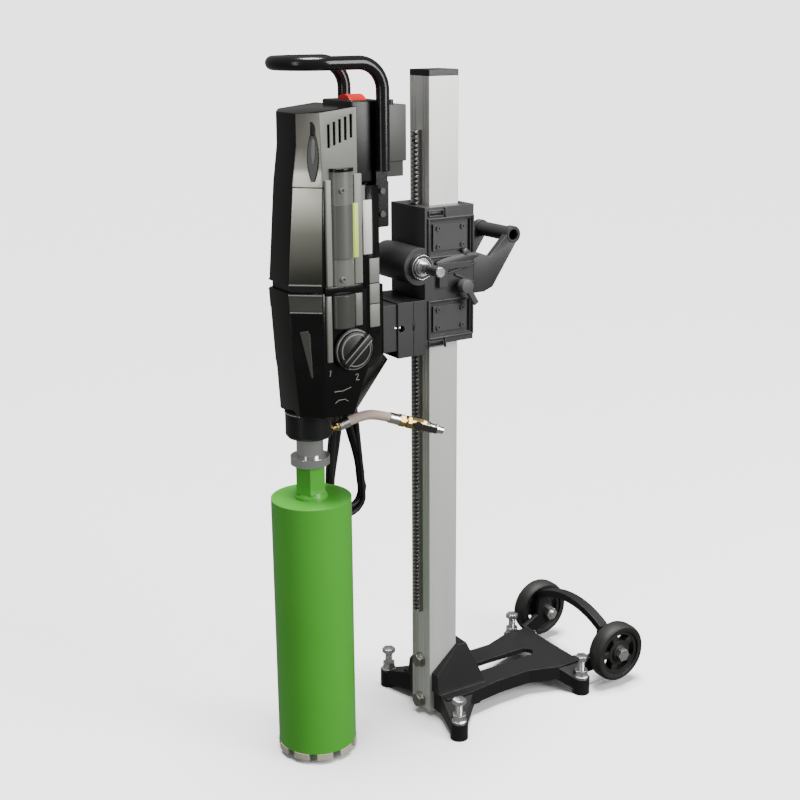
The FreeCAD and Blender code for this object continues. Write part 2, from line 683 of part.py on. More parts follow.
def make_wheels():
    """Solid moulded wheels with five windows, each its own moving piece."""
    bore = "(Dims.axle_radius + Dims.thread_gap)"
    tread = "Dims.wheel_radius"
    width = "Dims.wheel_width"
    for name, start in (("right", "-Dims.wheel_inner - Dims.wheel_width"),
                        ("left", "Dims.wheel_inner")):
        wheel = turned(f"wheel_{name}_body", [
            (bore, "0"), ("14", "0"), ("14", "7"), ("35", "7"), ("37", "0"),
            (f"{tread} - 3", "0"), (tread, "3"), (tread, f"{width} - 3"),
            (f"{tread} - 3", width), ("37", width), ("35", f"{width} - 7"),
            ("14", f"{width} - 7"), ("14", width), (bore, width)])
        windows = [rod(f"wheel_{name}_window_{i}", "7", "Dims.wheel_width",
                       (f"24.5 * cos({72 * i + 18} deg)", f"24.5 * sin({72 * i + 18} deg)", "0"))
                   for i in range(5)]
        piece(cut(f"wheel_{name}_cut", wheel, windows), f"wheel_{name}",
              "Dims.wheel_x", start, "Dims.wheel_z", ALONG["Y"])


# ---------------------------------------------------------------- gears

def gear_outline(teeth, module, phase):
    """Outline of a spur gear with involute flanks; tooth 0 points at angle `phase`."""
    pitch_radius = module * teeth / 2
    base = pitch_radius * math.cos(math.radians(20))
    tip = pitch_radius + 0.95 * module
    root = pitch_radius - 1.2 * module
    half_pitch = math.pi / (2 * teeth) - 0.07 / pitch_radius
    involute = math.tan(math.radians(20)) - math.radians(20)
    flank = []
    for step in range(5):
        radius = max(base, root) + (tip - max(base, root)) * step / 4
        angle = math.acos(min(1.0, base / radius))
        flank.append((radius, half_pitch + involute - (math.tan(angle) - angle)))
    points = []
    for tooth in range(teeth):
        middle = phase + 2 * math.pi * tooth / teeth
        side = [(root, flank[0][1])] + flank if root < base else flank
        for sign, radii in ((-1, side), (1, list(reversed(side)))):
            for radius, offset in radii:
                angle = middle + sign * offset
                points.append(Vector(radius * math.cos(angle), radius * math.sin(angle), 0))
    return points


def gear(teeth, module, width, phase, bore=0.0):
    """A spur gear standing on z = 0."""
    points = gear_outline(teeth, module, phase)
    wheel = Part.Face(Part.makePolygon(points + [points[0]])).extrude(Vector(0, 0, width))
    if bore > 0:
        wheel = wheel.cut(Part.makeCylinder(bore, width))
    return wheel


def meshing_phase(line, own_teeth, own_phase, other_teeth):
    """Phase of the gear at the far end of `line` that meshes with one at its near end."""
    own = (line - own_phase) * own_teeth / (2 * math.pi)
    return line + math.pi - (0.5 - own) * 2 * math.pi / other_teeth


def pinion_x():
    """The feed shaft's place ahead of the column axis."""
    pitch_line = -size("column_side") / 2 - size("rack_height") + size("rack_module")
    return pitch_line - size("rack_module") * size("pinion_teeth") / 2


def countershaft_spot():
    """The countershaft's axis, from its distances to the spindle and the armature."""
    to_spindle = size("output_module") * (size("low_pinion_teeth") + size("low_gear_teeth")) / 2
    to_armature = size("input_module") * (size("wheel_teeth") + size("armature_teeth")) / 2
    apart = size("armature_x") - size("spindle_x")
    along = (to_spindle ** 2 - to_armature ** 2 + apart ** 2) / (2 * apart)
    return size("spindle_x") + along, math.sqrt(to_spindle ** 2 - along ** 2)


# ---------------------------------------------------------------- carriage

def make_carriage():
    """Cast carriage round the column, with a round case for the pinion on its front."""
    depth = "(Dims.carriage_front + Dims.carriage_rear)"
    middle = "(Dims.carriage_rear - Dims.carriage_front) / 2"
    base = block("carriage_block", depth, "2 * Dims.carriage_half", "Dims.carriage_height",
                 (middle, "0", "Dims.carriage_bottom"))
    case_x = ("-(Dims.column_side / 2 + Dims.rack_height - Dims.rack_module"
              " + Dims.rack_module * Dims.pinion_teeth / 2)")
    case = rod("pinion_case", "Dims.pinion_case_radius", "2 * Dims.carriage_half",
               (case_x, "-Dims.carriage_half", "Dims.pinion_z"), "Y")
    flange = rod("bearing_flange", "Dims.flange_radius", "Dims.flange_thickness + 1",
                 (case_x, "-Dims.carriage_half - Dims.flange_thickness", "Dims.pinion_z"), "Y")
    tools = [
        block("column_channel", "2 * Dims.channel_half", "2 * Dims.channel_half",
              "Dims.carriage_height + 20", ("0", "0", "Dims.carriage_bottom - 10")),
        block("rack_channel", "24", "Dims.rack_width + 6", "Dims.carriage_height + 20",
              ("-Dims.channel_half - 1.5", "0", "Dims.carriage_bottom - 10")),
        rod("pinion_room", "Dims.rack_module * (Dims.pinion_teeth / 2 + 1) + 1.2",
            "Dims.rack_width + 6",
            (case_x, "-Dims.rack_width / 2 - 3", "Dims.pinion_z"), "Y"),
        rod("feed_bore", "Dims.feed_shaft_radius + Dims.thread_gap",
            "2 * Dims.carriage_half - 6",
            (case_x, "-Dims.carriage_half - Dims.flange_thickness", "Dims.pinion_z"), "Y"),
    ]
    for sign, start in (("-", "-Dims.carriage_half"), ("", "Dims.carriage_half - 4")):
        for low in ("Dims.plate_low_z", "Dims.plate_high_z"):
            name = f"recess_{'near' if sign else 'far'}_{low[-6:-2]}"
            tools.append(move(block(name, "Dims.plate_width + 10", "4", "Dims.plate_height + 10",
                                    ("0", "0", "0")),
                              "Dims.plate_x - (Dims.plate_width + 10) / 2", start,
                              f"{low} - (Dims.plate_height + 10) / 2"))
    for sign in (-1, 1):
        for z in ("Dims.plate_low_z", "Dims.plate_high_z"):
            for dx in (-1, 1):
                for dz in (-1, 1):
                    name = f"plate_hole_{sign + 1}_{z[-6:-2]}_{dx + 1}_{dz + 1}"
                    start = "-Dims.carriage_half" if sign < 0 else "Dims.carriage_half - 13"
                    tools.append(rod(name, "2", "13", (f"Dims.plate_x + {dx} * Dims.plate_inset",
                                               start, f"{z} + {dz} * Dims.plate_drop"),
                                     "Y"))
    piece(cut("carriage_cut", fuse("carriage_blank", [base, case, flange]), tools), "carriage_casting")


def make_guide_pads():
    """Sliding pads between the carriage and the column, near both of its ends."""
    pads = []
    thickness = "(Dims.channel_half - Dims.column_side / 2 - Dims.pad_gap)"
    reach = f"(Dims.channel_half - {thickness} / 2)"
    for level in ("Dims.carriage_bottom + 6",
                  "Dims.carriage_bottom + Dims.carriage_height - Dims.pad_height - 6"):
        tag = f"{len(pads)}"
        for sign in ("-", ""):
            side = block(f"pad_side_{tag}{sign and 'n'}", "Dims.pad_width", thickness,
                         "Dims.pad_height", ("0", f"{sign}{reach}", level))
            pads.append(side)
        pads.append(block(f"pad_rear_{tag}", thickness, "Dims.pad_width", "Dims.pad_height",
                          (reach, "0", level)))
        for y in ("-17", "17"):
            pads.append(block(f"pad_front_{tag}{'n' if y[0] == '-' else 'f'}", thickness, "8",
                              "Dims.pad_height", (f"-{reach}", y, level)))
    piece(group("pad_group", pads), "guide_pads")


def make_side_plates():
    """Four cover plates in the carriage's recesses, and their sixteen screws."""
    plates = []
    screws = []
    for sign in (-1, 1):
        for z in ("Dims.plate_low_z", "Dims.plate_high_z"):
            tag = f"{'near' if sign < 0 else 'far'}_{z[-6:-2]}"
            start = ("-Dims.carriage_half + 4 - Dims.plate_thickness" if sign < 0
                     else "Dims.carriage_half - 4")
            plate = move(block(f"plate_{tag}", "Dims.plate_width", "Dims.plate_thickness",
                               "Dims.plate_height"),
                         "Dims.plate_x - Dims.plate_width / 2", start, f"{z} - Dims.plate_height / 2")
            holes = []
            for dx in (-1, 1):
                for dz in (-1, 1):
                    at = (f"Dims.plate_x + {dx} * Dims.plate_inset", start,
                          f"{z} + {dz} * Dims.plate_drop")
                    name = f"{tag}_{dx + 1}_{dz + 1}"
                    holes.append(rod(f"bore_{name}", "2", "Dims.plate_thickness", at, "Y"))
                    screws.append(cap_screw(name, at, sign))
            plates.append(cut(f"plate_cut_{tag}", plate, holes))
    piece(group("plate_group", plates), "side_plates")
    piece(group("plate_screw_group", screws), "side_plate_screws")


def cap_screw(name, at, sign):
    """A small socket screw, its head on the outside of a side plate."""
    x, y, z = at
    outside = f"{y} - 2.6" if sign < 0 else f"{y} + Dims.plate_thickness"
    head = rod(f"head_{name}", "3.6", "2.6", (x, outside, z), "Y")
    inner = y if sign < 0 else f"{y} + Dims.plate_thickness - 11"
    shank = rod(f"shank_{name}", "2", "11", (x, inner, z), "Y")
    socket_at = f"{y} - 2.6" if sign < 0 else f"{y} + Dims.plate_thickness + 1"
    socket = hexagon(f"socket_{name}", "3", "1.6", (x, socket_at, z), "Y")
    return cut(f"screw_{name}", fuse(f"blank_{name}", [head, shank]), [socket])


def make_feed_shaft():
    """Feed shaft with its pinion and the stub that takes the crank."""
    r = size("feed_shaft_radius")
    axis = Vector(0, 1, 0)
    x = pinion_x()
    z = size("pinion_z")
    journal = Part.makeCylinder(r, size("stub_start") + size("carriage_half") - 14,
                                Vector(x, -size("stub_start"), z), axis)
    stub = Part.makeCylinder(size("stub_radius"), size("stub_end") - size("stub_start"),
                             Vector(x, -size("stub_end"), z), axis)
    stub = stub.makeChamfer(1, [e for e in stub.Edges if abs(e.CenterOfMass.y
                                                             + size("stub_end")) < 0.01])
    steps = (z - size("rack_bottom")) / size("rack_pitch") - 0.5
    offset = (steps - math.floor(steps)) * size("rack_pitch")
    pitch_radius = size("rack_module") * size("pinion_teeth") / 2
    gap_angle = -offset / pitch_radius
    teeth = int(size("pinion_teeth"))
    pinion = gear(teeth, size("rack_module"), size("rack_width") + 2,
                  gap_angle + math.pi / teeth)
    pinion.rotate(Vector(), Vector(1, 0, 0), 90)
    pinion.translate(Vector(x, size("rack_width") / 2 + 1, z))
    shape_piece("feed_shaft", journal.fuse([stub, pinion]))


def handle_arm(sign):
    """One cranked arm of the carry handle."""
    gx = size("grip_x")
    gz = size("grip_z")
    rear = size("carriage_rear")
    side = [(rear, gz - 17), (rear + 14, gz - 22), (rear + 31, gz - 28), (gx - 11, gz + 3),
            (gx + 8, gz - 8), (rear + 36, gz - 74), (rear + 20, gz - 80), (rear, gz - 80)]
    inner = sign * (size("carriage_half") - size("arm_thickness"))
    points = [Vector(x, inner, z) for x, z in side]
    arm = Part.Face(Part.makePolygon(points + [points[0]])).extrude(
        Vector(0, sign * size("arm_thickness"), 0))
    eye = Part.makeCylinder(size("grip_radius") + 2, size("arm_thickness"),
                            Vector(gx, inner, gz), Vector(0, sign, 0))
    bore = Part.makeCylinder(size("grip_radius") + size("bolt_play"), size("arm_thickness"),
                             Vector(gx, inner, gz), Vector(0, sign, 0))
    return arm.fuse(eye).cut(bore)


def make_carry_handle():
    """Two arms on the rear of the carriage with a tube between them."""
    shape_piece("carry_arms", Part.makeCompound([handle_arm(-1), handle_arm(1)]))
    grip = ring("grip_ring", "Dims.grip_radius", "Dims.grip_radius - Dims.grip_wall",
                "2 * Dims.carriage_half")
    piece(grip, "carry_grip", "Dims.grip_x", "-Dims.carriage_half", "Dims.grip_z", ALONG["Y"])


def make_locks():
    """Slide lock: a bar on the carriage and the winged knob that tightens it."""
    face = "-Dims.carriage_half"
    bar = move(block("lock_bar_block", "60", "5", "9"), "Dims.knob_x - 44", f"{face} - 7",
               "Dims.knob_z + 26")
    leg = move(block("lock_bar_leg", "14", "7", "35"), "Dims.knob_x - 40", f"{face} - 7",
               "Dims.knob_z")
    piece(fuse("lock_bar_fuse", [bar, leg]), "lock_bar")
    spindle = rod("knob_stem", "5", "9", ("0", "0", "0"), "Y")
    disc = rod("knob_disc", "10", "12", ("0", "-12", "0"), "Y")
    wing = move(block("knob_wing", "8", "7", "26"), "-4", "-11", "-32")
    knob = fuse("knob_fuse", [spindle, disc, wing])
    piece(knob, "lock_knob", "Dims.knob_x", f"{face} - 9.3", "Dims.knob_z",
          Rotation(Vector(0, 1, 0), -32))


def make_motor_mount():
    """Block on the carriage and plate on the gear housing."""
    x = "-Dims.carriage_front - 23"
    blank = block("mount_blank", "46", "2 * Dims.carriage_half", "81", (x, "0", "607"))
    bore = rod("mount_bore", "5", "2 * Dims.carriage_half",
               ("-Dims.carriage_front - 40", "-Dims.carriage_half", "650"), "Y")
    piece(cut("mount_cut", blank, [bore]), "mount_block")
    plate = block("plate_blank", "23", "84", "68", ("-Dims.carriage_front - 57.5", "0", "618"))
    piece(group("mount_plate_group", [plate]), "mount_plate")


# ---------------------------------------------------------------- motor and gear housing

def section(z, front, side_front, side_rear, rear, half, front_half, rear_half):
    """Eight-sided section of the motor: flat front, slanted panels, sides, flat rear."""
    points = [(front, -front_half), (side_front, -half), (side_rear, -half), (rear, -rear_half),
              (rear, rear_half), (side_rear, half), (side_front, half), (front, front_half)]
    corners = [Vector(x, y, z) for x, y in points]
    return Part.makePolygon(corners + [corners[0]])


def shell(stations, wall, floor, roof):
    """A closed loft through the stations, hollowed to a wall, with a floor and a roof."""
    outer = Part.makeLoft([section(*s) for s in stations], True, True)
    inside = []
    for i, (z, front, a, b, rear, half, fh, rh) in enumerate(stations):
        level = z
        if i == 0:
            level = z + floor
        if i == len(stations) - 1:
            level = z - roof
        inside.append(section(level, front + wall, a + wall / 2, b - wall / 2, rear - wall,
                              half - wall, fh - wall / 2, rh - wall / 2))
    return outer, Part.makeLoft(inside, True, True)


def make_gear_housing():
    """Cast gear housing with a floor for the spindle's lower bearing."""
    half = size("motor_half")
    stations = [
        (size("gearbox_bottom"), -246, -222, -172, -146, half - 4, 30, 24),
        (604, -250.5, -221, -152, -99, half, 28, 28),
        (617, -252.5, -221, -152, -115, half, 28, 42),
        (size("gearbox_top"), -258.5, -221, -152, -115, half, 28, 42),
    ]
    floor = 30
    outer, inner = shell(stations, size("shell_wall"), floor, 0)
    z = size("gearbox_bottom")
    spindle = Vector(size("spindle_x"), 0, z)
    gap = size("thread_gap")
    seat = Part.makeCylinder(26 + gap, floor + 4, spindle + Vector(0, 0, 6))
    hole = Part.makeCylinder(size("spindle_radius") + 1, 10, spindle)
    x, y = countershaft_spot()
    pocket = Part.makeCylinder(12 + gap, 8, Vector(x, y, z + floor - 8))
    selector = Part.makeCylinder(6 + gap, 20, Vector(size("selector_x"), -half - 5,
                                                     size("selector_z")), Vector(0, 1, 0))
    housing = outer.cut(inner).cut(seat.fuse(hole)).cut(pocket).cut(selector)
    shape_piece("gear_housing", housing)


def make_motor_housing():
    """Motor housing above the gearbox, open at both ends."""
    half = size("motor_half")
    low = size("gearbox_top") + size("bearing_plate")
    stations = [(low, -258, -221, -151, -120, half, 28, 21),
                (size("motor_seam"), -247, -218, -151, -120, half, 28, 21)]
    outer, inner = shell(stations, size("shell_wall"), 0, 0)
    shape_piece("motor_housing", outer.cut(inner))


def make_motor_cap():
    """Top cap with air slots in both sides and a sloping roof."""
    half = size("motor_half")
    low = size("motor_seam")
    stations = [(low, -247, -218, -163, -161, half, 28, 54),
                (915, -239.5, -219, -163, -161, half, 28, 54),
                (size("motor_top") + 8, -239, -221, -163, -161, half, 28, 54)]
    outer, inner = shell(stations, size("shell_wall"), 0, 27)
    slope = Part.makeBox(200, 200, 60, Vector(-300, -100, size("motor_top") - 8))
    slope.rotate(Vector(-240, 0, size("motor_top") - 8), Vector(0, 1, 0), -6)
    cap = outer.cut(inner).cut(slope)
    for i in range(5):
        slot = Part.makeBox(3, 200, 30, Vector(-208 + 8.6 * i, -100, 914 + 3 * i))
        cap = cap.cut(slot)
    shape_piece("motor_cap", cap)


def make_bearing_plate():
    """Plate between gearbox and motor that holds the armature's lower bearing."""
    half = size("motor_half") - 3
    low = size("gearbox_top")
    wires = [section(z, -254, -219, -152, -121, half, 26, 20)
             for z in (low, low + size("bearing_plate"))]
    plate = Part.makeLoft(wires, True, True)
    x, y = countershaft_spot()
    seats = Part.makeCylinder(11.1, 20, Vector(size("armature_x"), 0, low - 5))
    seats = seats.fuse(Part.makeCylinder(12.1, 20, Vector(x, y, low - 5)))
    shape_piece("bearing_plate", plate.cut(seats))


def make_gear_bridge():
    """Plate inside the gear housing that holds the spindle's upper bearing."""
    z = bridge_z()
    wires = [section(level, -240, -214, -156, -120, size("motor_half") - 4.5, 25, 37)
             for level in (z, z + 12)]
    plate = Part.makeLoft(wires, True, True)
    x, y = countershaft_spot()
    seats = Part.makeCylinder(18.1, 20, Vector(size("spindle_x"), 0, z - 4))
    seats = seats.fuse(Part.makeCylinder(12.1, 20, Vector(x, y, z - 4)))
    shape_piece("gear_bridge", plate.cut(seats))


def bridge_z():
    """Height of the plate inside the gear housing."""
    return size("gearbox_bottom") + 95


def bearing(inner, outer, height, x, y, z):
    """A ball bearing as one ring with a groove in each face."""
    ring_shape = Part.makeCylinder(outer, height).cut(Part.makeCylinder(inner, height))
    middle = (inner + outer) / 2
    for level in (0, height - 0.6):
        groove = Part.makeCylinder(middle + 1, 0.6, Vector(0, 0, level))
        groove = groove.cut(Part.makeCylinder(middle - 1, 0.6, Vector(0, 0, level)))
        ring_shape = ring_shape.cut(groove)
    ring_shape.translate(Vector(x, y, z))
    return ring_shape


def make_bearings():
    """Ball bearings of the spindle, the countershaft and the armature."""
    gap = size("thread_gap")
    spindle_x = size("spindle_x")
    x, y = countershaft_spot()
    low = size("gearbox_bottom")
    plate = size("gearbox_top") + 0.5
    shape_piece("ball_bearings", Part.makeCompound([
        bearing(15 + gap, 26, 15, spindle_x, 0, low + 6),
        bearing(12 + gap, 18, 11, spindle_x, 0, bridge_z()),
        bearing(7 + gap, 12, 8, x, y, low + 22),
        bearing(7 + gap, 12, 9, x, y, plate),
        bearing(6 + gap, 11, 9, size("armature_x"), 0, plate),
        bearing(6 + gap, 14, 10, size("armature_x"), 0, 905)]))


def make_gear_train():
    """Spindle gear, idling second-speed gear, countershaft, armature."""
    x, y = countershaft_spot()
    low = size("gearbox_bottom") + 38
    high = low + 24
    top = size("gearbox_top") - 22
    spindle_x = size("spindle_x")
    module = size("output_module")
    line = math.atan2(y, x - spindle_x)
    low_gear = int(size("low_gear_teeth"))
    high_gear = int(size("high_gear_teeth"))
    low_pinion = int(size("low_pinion_teeth"))
    high_pinion = int(size("high_pinion_teeth"))
    first = gear(low_gear, module, 16, 0, 15)
    first.translate(Vector(spindle_x, 0, low))
    shape_piece("first_speed_gear", first)
    second = gear(high_gear, module, 13, 0, 15 + size("thread_gap"))
    second.translate(Vector(spindle_x, 0, high))
    shape_piece("second_speed_gear", second)
    shaft_low = size("gearbox_bottom") + 22
    shaft = Part.makeCylinder(7, size("gearbox_top") + 9 - shaft_low, Vector(0, 0, shaft_low))
    parts = []
    for teeth, mate, level, width in ((low_pinion, low_gear, low - 1, 18),
                                      (high_pinion, high_gear, high - 1, 15)):
        pinion = gear(teeth, module, width, meshing_phase(line, mate, 0, teeth))
        pinion.translate(Vector(0, 0, level))
        parts.append(pinion)
    wheel = gear(int(size("wheel_teeth")), size("input_module"), 12, 0)
    wheel.translate(Vector(0, 0, top))
    shaft = shaft.fuse(parts + [wheel])
    shaft.translate(Vector(x, y, 0))
    shape_piece("countershaft", shaft)
    make_armature(math.atan2(-y, size("armature_x") - x), top)


def make_armature(line, level):
    """Armature: shaft with cut teeth, fan, lamination stack and commutator."""
    teeth = int(size("armature_teeth"))
    phase = meshing_phase(line, int(size("wheel_teeth")), 0, teeth)
    pinion = gear(teeth, size("input_module"), 14, phase)
    pinion.translate(Vector(0, 0, level - 1))
    shaft = Part.makeCylinder(6, 915 - level - 13, Vector(0, 0, level + 13))
    fan = Part.makeCylinder(20, 4, Vector(0, 0, 738))
    for i in range(9):
        blade = Part.makeBox(30, 1.6, 14, Vector(10, -0.8, 738))
        blade.rotate(Vector(), Vector(0, 0, 1), 40 * i)
        fan = fan.fuse(blade)
    stack = Part.makeCylinder(26, 86, Vector(0, 0, 762))
    commutator = Part.makeCylinder(15, 22, Vector(0, 0, 872))
    armature = shaft.fuse([pinion, fan, stack, commutator])
    armature.translate(Vector(size("armature_x"), 0, 0))
    shape_piece("armature", armature)


def make_stator():
    """Field laminations round the armature, held by the motor housing."""
    core = Part.makeCylinder(45, 84, Vector(0, 0, 763))
    core = core.cut(Part.makeCylinder(27, 84, Vector(0, 0, 763)))
    core.translate(Vector(size("armature_x"), 0, 0))
    shape_piece("stator_core", core)
    carrier = Part.makeCylinder(50, 6, Vector(0, 0, 899))
    carrier = carrier.fuse(Part.makeCylinder(18, 16, Vector(0, 0, 899)))
    carrier = carrier.cut(Part.makeCylinder(14, 30, Vector(0, 0, 905)))
    carrier = carrier.cut(Part.makeCylinder(8, 30, Vector(0, 0, 890)))
    window = Part.makeBox(400, 400, 100, Vector(22, -200, 880))
    carrier = carrier.cut(window)
    carrier = carrier.cut(Part.makeBox(400, 400, 100, Vector(-444, -200, 880)))
    carrier.translate(Vector(size("armature_x"), 0, 0))
    brushes = []
    for sign in (-1, 1):
        y = 15.4 if sign > 0 else -15.4 - 16
        brushes.append(Part.makeBox(6, 16, 12, Vector(size("armature_x") - 3, y, 877)))
        holder_y = 16 if sign > 0 else -28
        holder = Part.makeBox(10, 12, 21, Vector(size("armature_x") - 5, holder_y, 878))
        brushes[-1] = brushes[-1].fuse(holder)
    shape_piece("brush_gear", Part.makeCompound([carrier] + brushes))


def make_spindle():
    """Hollow spindle with its flange and the thread that holds the barrel."""
    collar_low = size("hub_top")
    collar_top = collar_low + size("collar_thickness")
    low = size("gearbox_bottom") + 4
    profile = [(4, collar_low - 30), (size("spindle_thread"), collar_low - 30),
               (size("spindle_thread"), collar_low), (size("collar_radius"), collar_low),
               (size("collar_radius"), collar_top), (size("spindle_radius"), collar_top),
               (size("spindle_radius"), low), (15, low), (15, bridge_z() - 2),
               (12, bridge_z() - 2), (12, bridge_z() + 14), (4, bridge_z() + 14)]
    points = [Vector(r, 0, z) for r, z in profile]
    solid = Part.Face(Part.makePolygon(points + [points[0]])).revolve(
        Vector(), Vector(0, 0, 1), 360)
    solid.translate(Vector(size("spindle_x"), 0, 0))
    shape_piece("spindle", solid)


def make_nose():
    """Nose collar that feeds water to the spindle."""
    bore = "(Dims.spindle_radius + Dims.thread_gap)"
    height = "(Dims.gearbox_bottom - Dims.nose_bottom)"
    nose = turned("nose_body", [
        (bore, "0"), ("Dims.nose_radius - 3", "0"), ("Dims.nose_radius", "4"),
        ("Dims.nose_radius", height), (bore, height)])
    piece(nose, "nose_collar", "Dims.spindle_x", "0", "Dims.nose_bottom")


def make_barrel():
    """Core barrel: thin tube, crown and hex hub, with segments on its rim."""
    outer = size("barrel_radius")
    wall = size("barrel_wall")
    top = size("barrel_top")
    rim = size("segment_bottom") + size("segment_height")
    crown = size("crown_thickness")
    profile = [(outer - wall, rim), (outer, rim), (outer, top), (24, top), (24, top + 4),
               (20, top + 10), (size("spindle_thread"), top + 10),
               (size("spindle_thread"), top - crown), (outer - wall, top - crown)]
    points = [Vector(r, 0, z) for r, z in profile]
    tube = Part.Face(Part.makePolygon(points + [points[0]])).revolve(
        Vector(), Vector(0, 0, 1), 360)
    radius = size("hub_across") / math.sqrt(3)
    corners = [Vector(radius * math.cos(math.radians(60 * i)),
                      radius * math.sin(math.radians(60 * i)), top + 9) for i in range(6)]
    hub = Part.Face(Part.makePolygon(corners + [corners[0]])).extrude(
        Vector(0, 0, size("hub_top") - top - 9))
    hub = hub.cut(Part.makeCylinder(size("spindle_thread"), 80, Vector(0, 0, top)))
    barrel = tube.fuse(hub)
    barrel.translate(Vector(size("spindle_x"), 0, 0))
    shape_piece("core_barrel", barrel)
    segments = []
    thickness = size("segment_wall")
    half = size("segment_length") / 2
    middle = outer - wall / 2
    count = int(size("segment_count"))
    for i in range(count):
        ring_shape = Part.makeCylinder(middle + thickness / 2, size("segment_height"))
        ring_shape = ring_shape.cut(Part.makeCylinder(middle - thickness / 2,
                                                      size("segment_height")))
        keep = Part.makeBox(20, 2 * half, 40, Vector(middle - 10, -half, -10))
        segment = ring_shape.common(keep)
        segment.rotate(Vector(), Vector(0, 0, 1), 360 * i / count)
        segment.translate(Vector(size("spindle_x"), 0, size("segment_bottom")))
        segments.append(segment)
    shape_piece("barrel_segments", Part.makeCompound(segments))


def make_gear_knob():
    """Two-speed selector on the side of the gear housing."""
    stem = rod("knob_shaft", "6", "3.8", ("0", "0", "0"), "Y")
    skirt = rod("selector_skirt", "30", "5", ("0", "-5", "0"), "Y")
    crown = rod("selector_crown", "26", "5", ("0", "-10", "0"), "Y")
    bar = move(block("selector_bar", "11", "14", "56"), "-5.5", "-18", "-28")
    knob = fuse("selector_fuse", [stem, skirt, crown, bar])
    piece(knob, "gear_selector", "Dims.selector_x", "-Dims.motor_half - 0.4", "Dims.selector_z",
          Rotation(Vector(0, 1, 0), 48))


# ---------------------------------------------------------------- handle and controls

def make_tube_handle():
    """One bent tube: two legs, two arms and a round front."""
    bend = size("handle_bend")
    top = size("handle_top")
    x = size("handle_x")
    half = size("handle_half")
    reach = size("handle_reach")
    low = size("handle_low") + 78
    corner = math.sqrt(0.5)

    def leg_and_arm(sign):
        y = sign * half
        centre = Vector(x - bend, y, top - bend)
        leg = Part.LineSegment(Vector(x, y, low), Vector(x, y, top - bend)).toShape()
        middle = centre + Vector(bend * corner, 0, bend * corner)
        arc = Part.Arc(Vector(x, y, top - bend), middle, Vector(x - bend, y, top)).toShape()
        arm = Part.LineSegment(Vector(x - bend, y, top), Vector(reach, y, top)).toShape()
        return [leg, arc, arm]

    front = Part.Arc(Vector(reach, -half, top), Vector(reach - half, 0, top),
                     Vector(reach, half, top)).toShape()
    path = Part.Wire(leg_and_arm(-1) + [front] + list(reversed(leg_and_arm(1))))
    tubes = []
    for radius in (size("handle_radius"), size("handle_radius") - size("handle_wall")):
        circle = Part.Wire(Part.makeCircle(radius, Vector(x, -half, low), Vector(0, 0, 1)))
        tubes.append(path.makePipeShell([circle], True, False))
    tube = tubes[0].cut(tubes[1])
    flats = []
    for sign in (-1, 1):
        inner = half - size("handle_radius")
        y = inner if sign > 0 else -inner - 5
        flat = Part.makeBox(18.6, 5, low - size("handle_low"),
                            Vector(x - 9.3, y, size("handle_low")))
        cone = Part.makeCylinder(size("handle_radius"), 14, Vector(x, sign * half, low))
        flats += [flat, cone]
        for z in (18, 50):
            hole = Part.makeCylinder(3.2, 20, Vector(x, sign * (inner - 1),
                                                   size("handle_low") + z), Vector(0, sign, 0))
            flats[-2] = flats[-2].cut(hole)
    shape_piece("tube_handle", tube.fuse(flats))
    screws = []
    for sign in (-1, 1):
        for z in (18, 50):
            base = Vector(x, sign * (half - size("handle_radius")), size("handle_low") + z)
            shank = Part.makeCylinder(2.5, 15, base - Vector(0, sign * 10, 0), Vector(0, sign, 0))
            head = Part.makeCylinder(4.2, 3, base + Vector(0, sign * 5, 0), Vector(0, sign, 0))
            screws.append(shank.fuse(head))
    shape_piece("handle_screws", Part.makeCompound(screws))
    width = 2 * (half - size("handle_radius"))
    bracket = Part.makeBox(16, width, 62, Vector(-120, -width / 2, size("handle_low")))
    for sign in (-1, 1):
        for z in (18, 50):
            bracket = bracket.cut(Part.makeCylinder(
                3.2, 12, Vector(x, sign * (width / 2 + 1), size("handle_low") + z),
                Vector(0, -sign, 0)))
    shape_piece("handle_bracket", bracket)


def make_controls():
    """Switch housing with its rocker, and the electronics box with its button."""
    low = size("controls_low")
    front = -160.8
    depth = size("switch_depth")
    width = size("switch_width")
    height = size("switch_height")
    rocker_front = front + 11.8
    rocker_width = size("rocker_width")
    housing = Part.makeBox(depth, width, height, Vector(front, -width / 2, low))
    well = Part.makeBox(rocker_width + 0.6, 50.6, 24,
                        Vector(rocker_front - 0.3, -25.3, low + height - 22))
    shape_piece("switch_housing", housing.cut(well))
    rocker = Part.makeCylinder(25, rocker_width, Vector(rocker_front, 0, low + height - 18),
                               Vector(1, 0, 0))
    rocker = rocker.common(Part.makeBox(rocker_width, 60, 30,
                                        Vector(rocker_front, -30, low + height - 14)))
    shape_piece("switch_rocker", rocker)
    rear = front + depth
    box_low = size("box_low")
    box_width = size("box_width")
    upper = Part.makeBox(size("box_depth"), box_width, size("box_height"),
                         Vector(rear, -box_width / 2, box_low))
    neck = Part.makeBox(size("box_depth") - 4, box_width - 4, 21,
                        Vector(rear, -box_width / 2 + 2, box_low - 21))
    button_at = Vector(rear + 22, -box_width / 2 + 8, box_low + size("box_height") - 14)
    bore = Part.makeCylinder(size("button_radius") + 0.1, 20, button_at)
    shape_piece("electronics_box", upper.fuse(neck).cut(bore))
    button = Part.makeCylinder(size("button_radius"), 16, button_at + Vector(0, 0, 5))
    shape_piece("reset_button", button)


# ---------------------------------------------------------------- water feed

HOSE_ROUTE = [(-164, -22, 519.5), (-144, -24, 525), (-122, -28, 525), (-101, -33, 517.5)]
CORD_ROUTE = [(-80, 14, 838), (-80, 14, 820), (-83, 20, 800), (-92, 35, 774),
              (-103, 54, 740), (-111, 70, 708), (-113, 76, 680), (-113, 76, 662)]


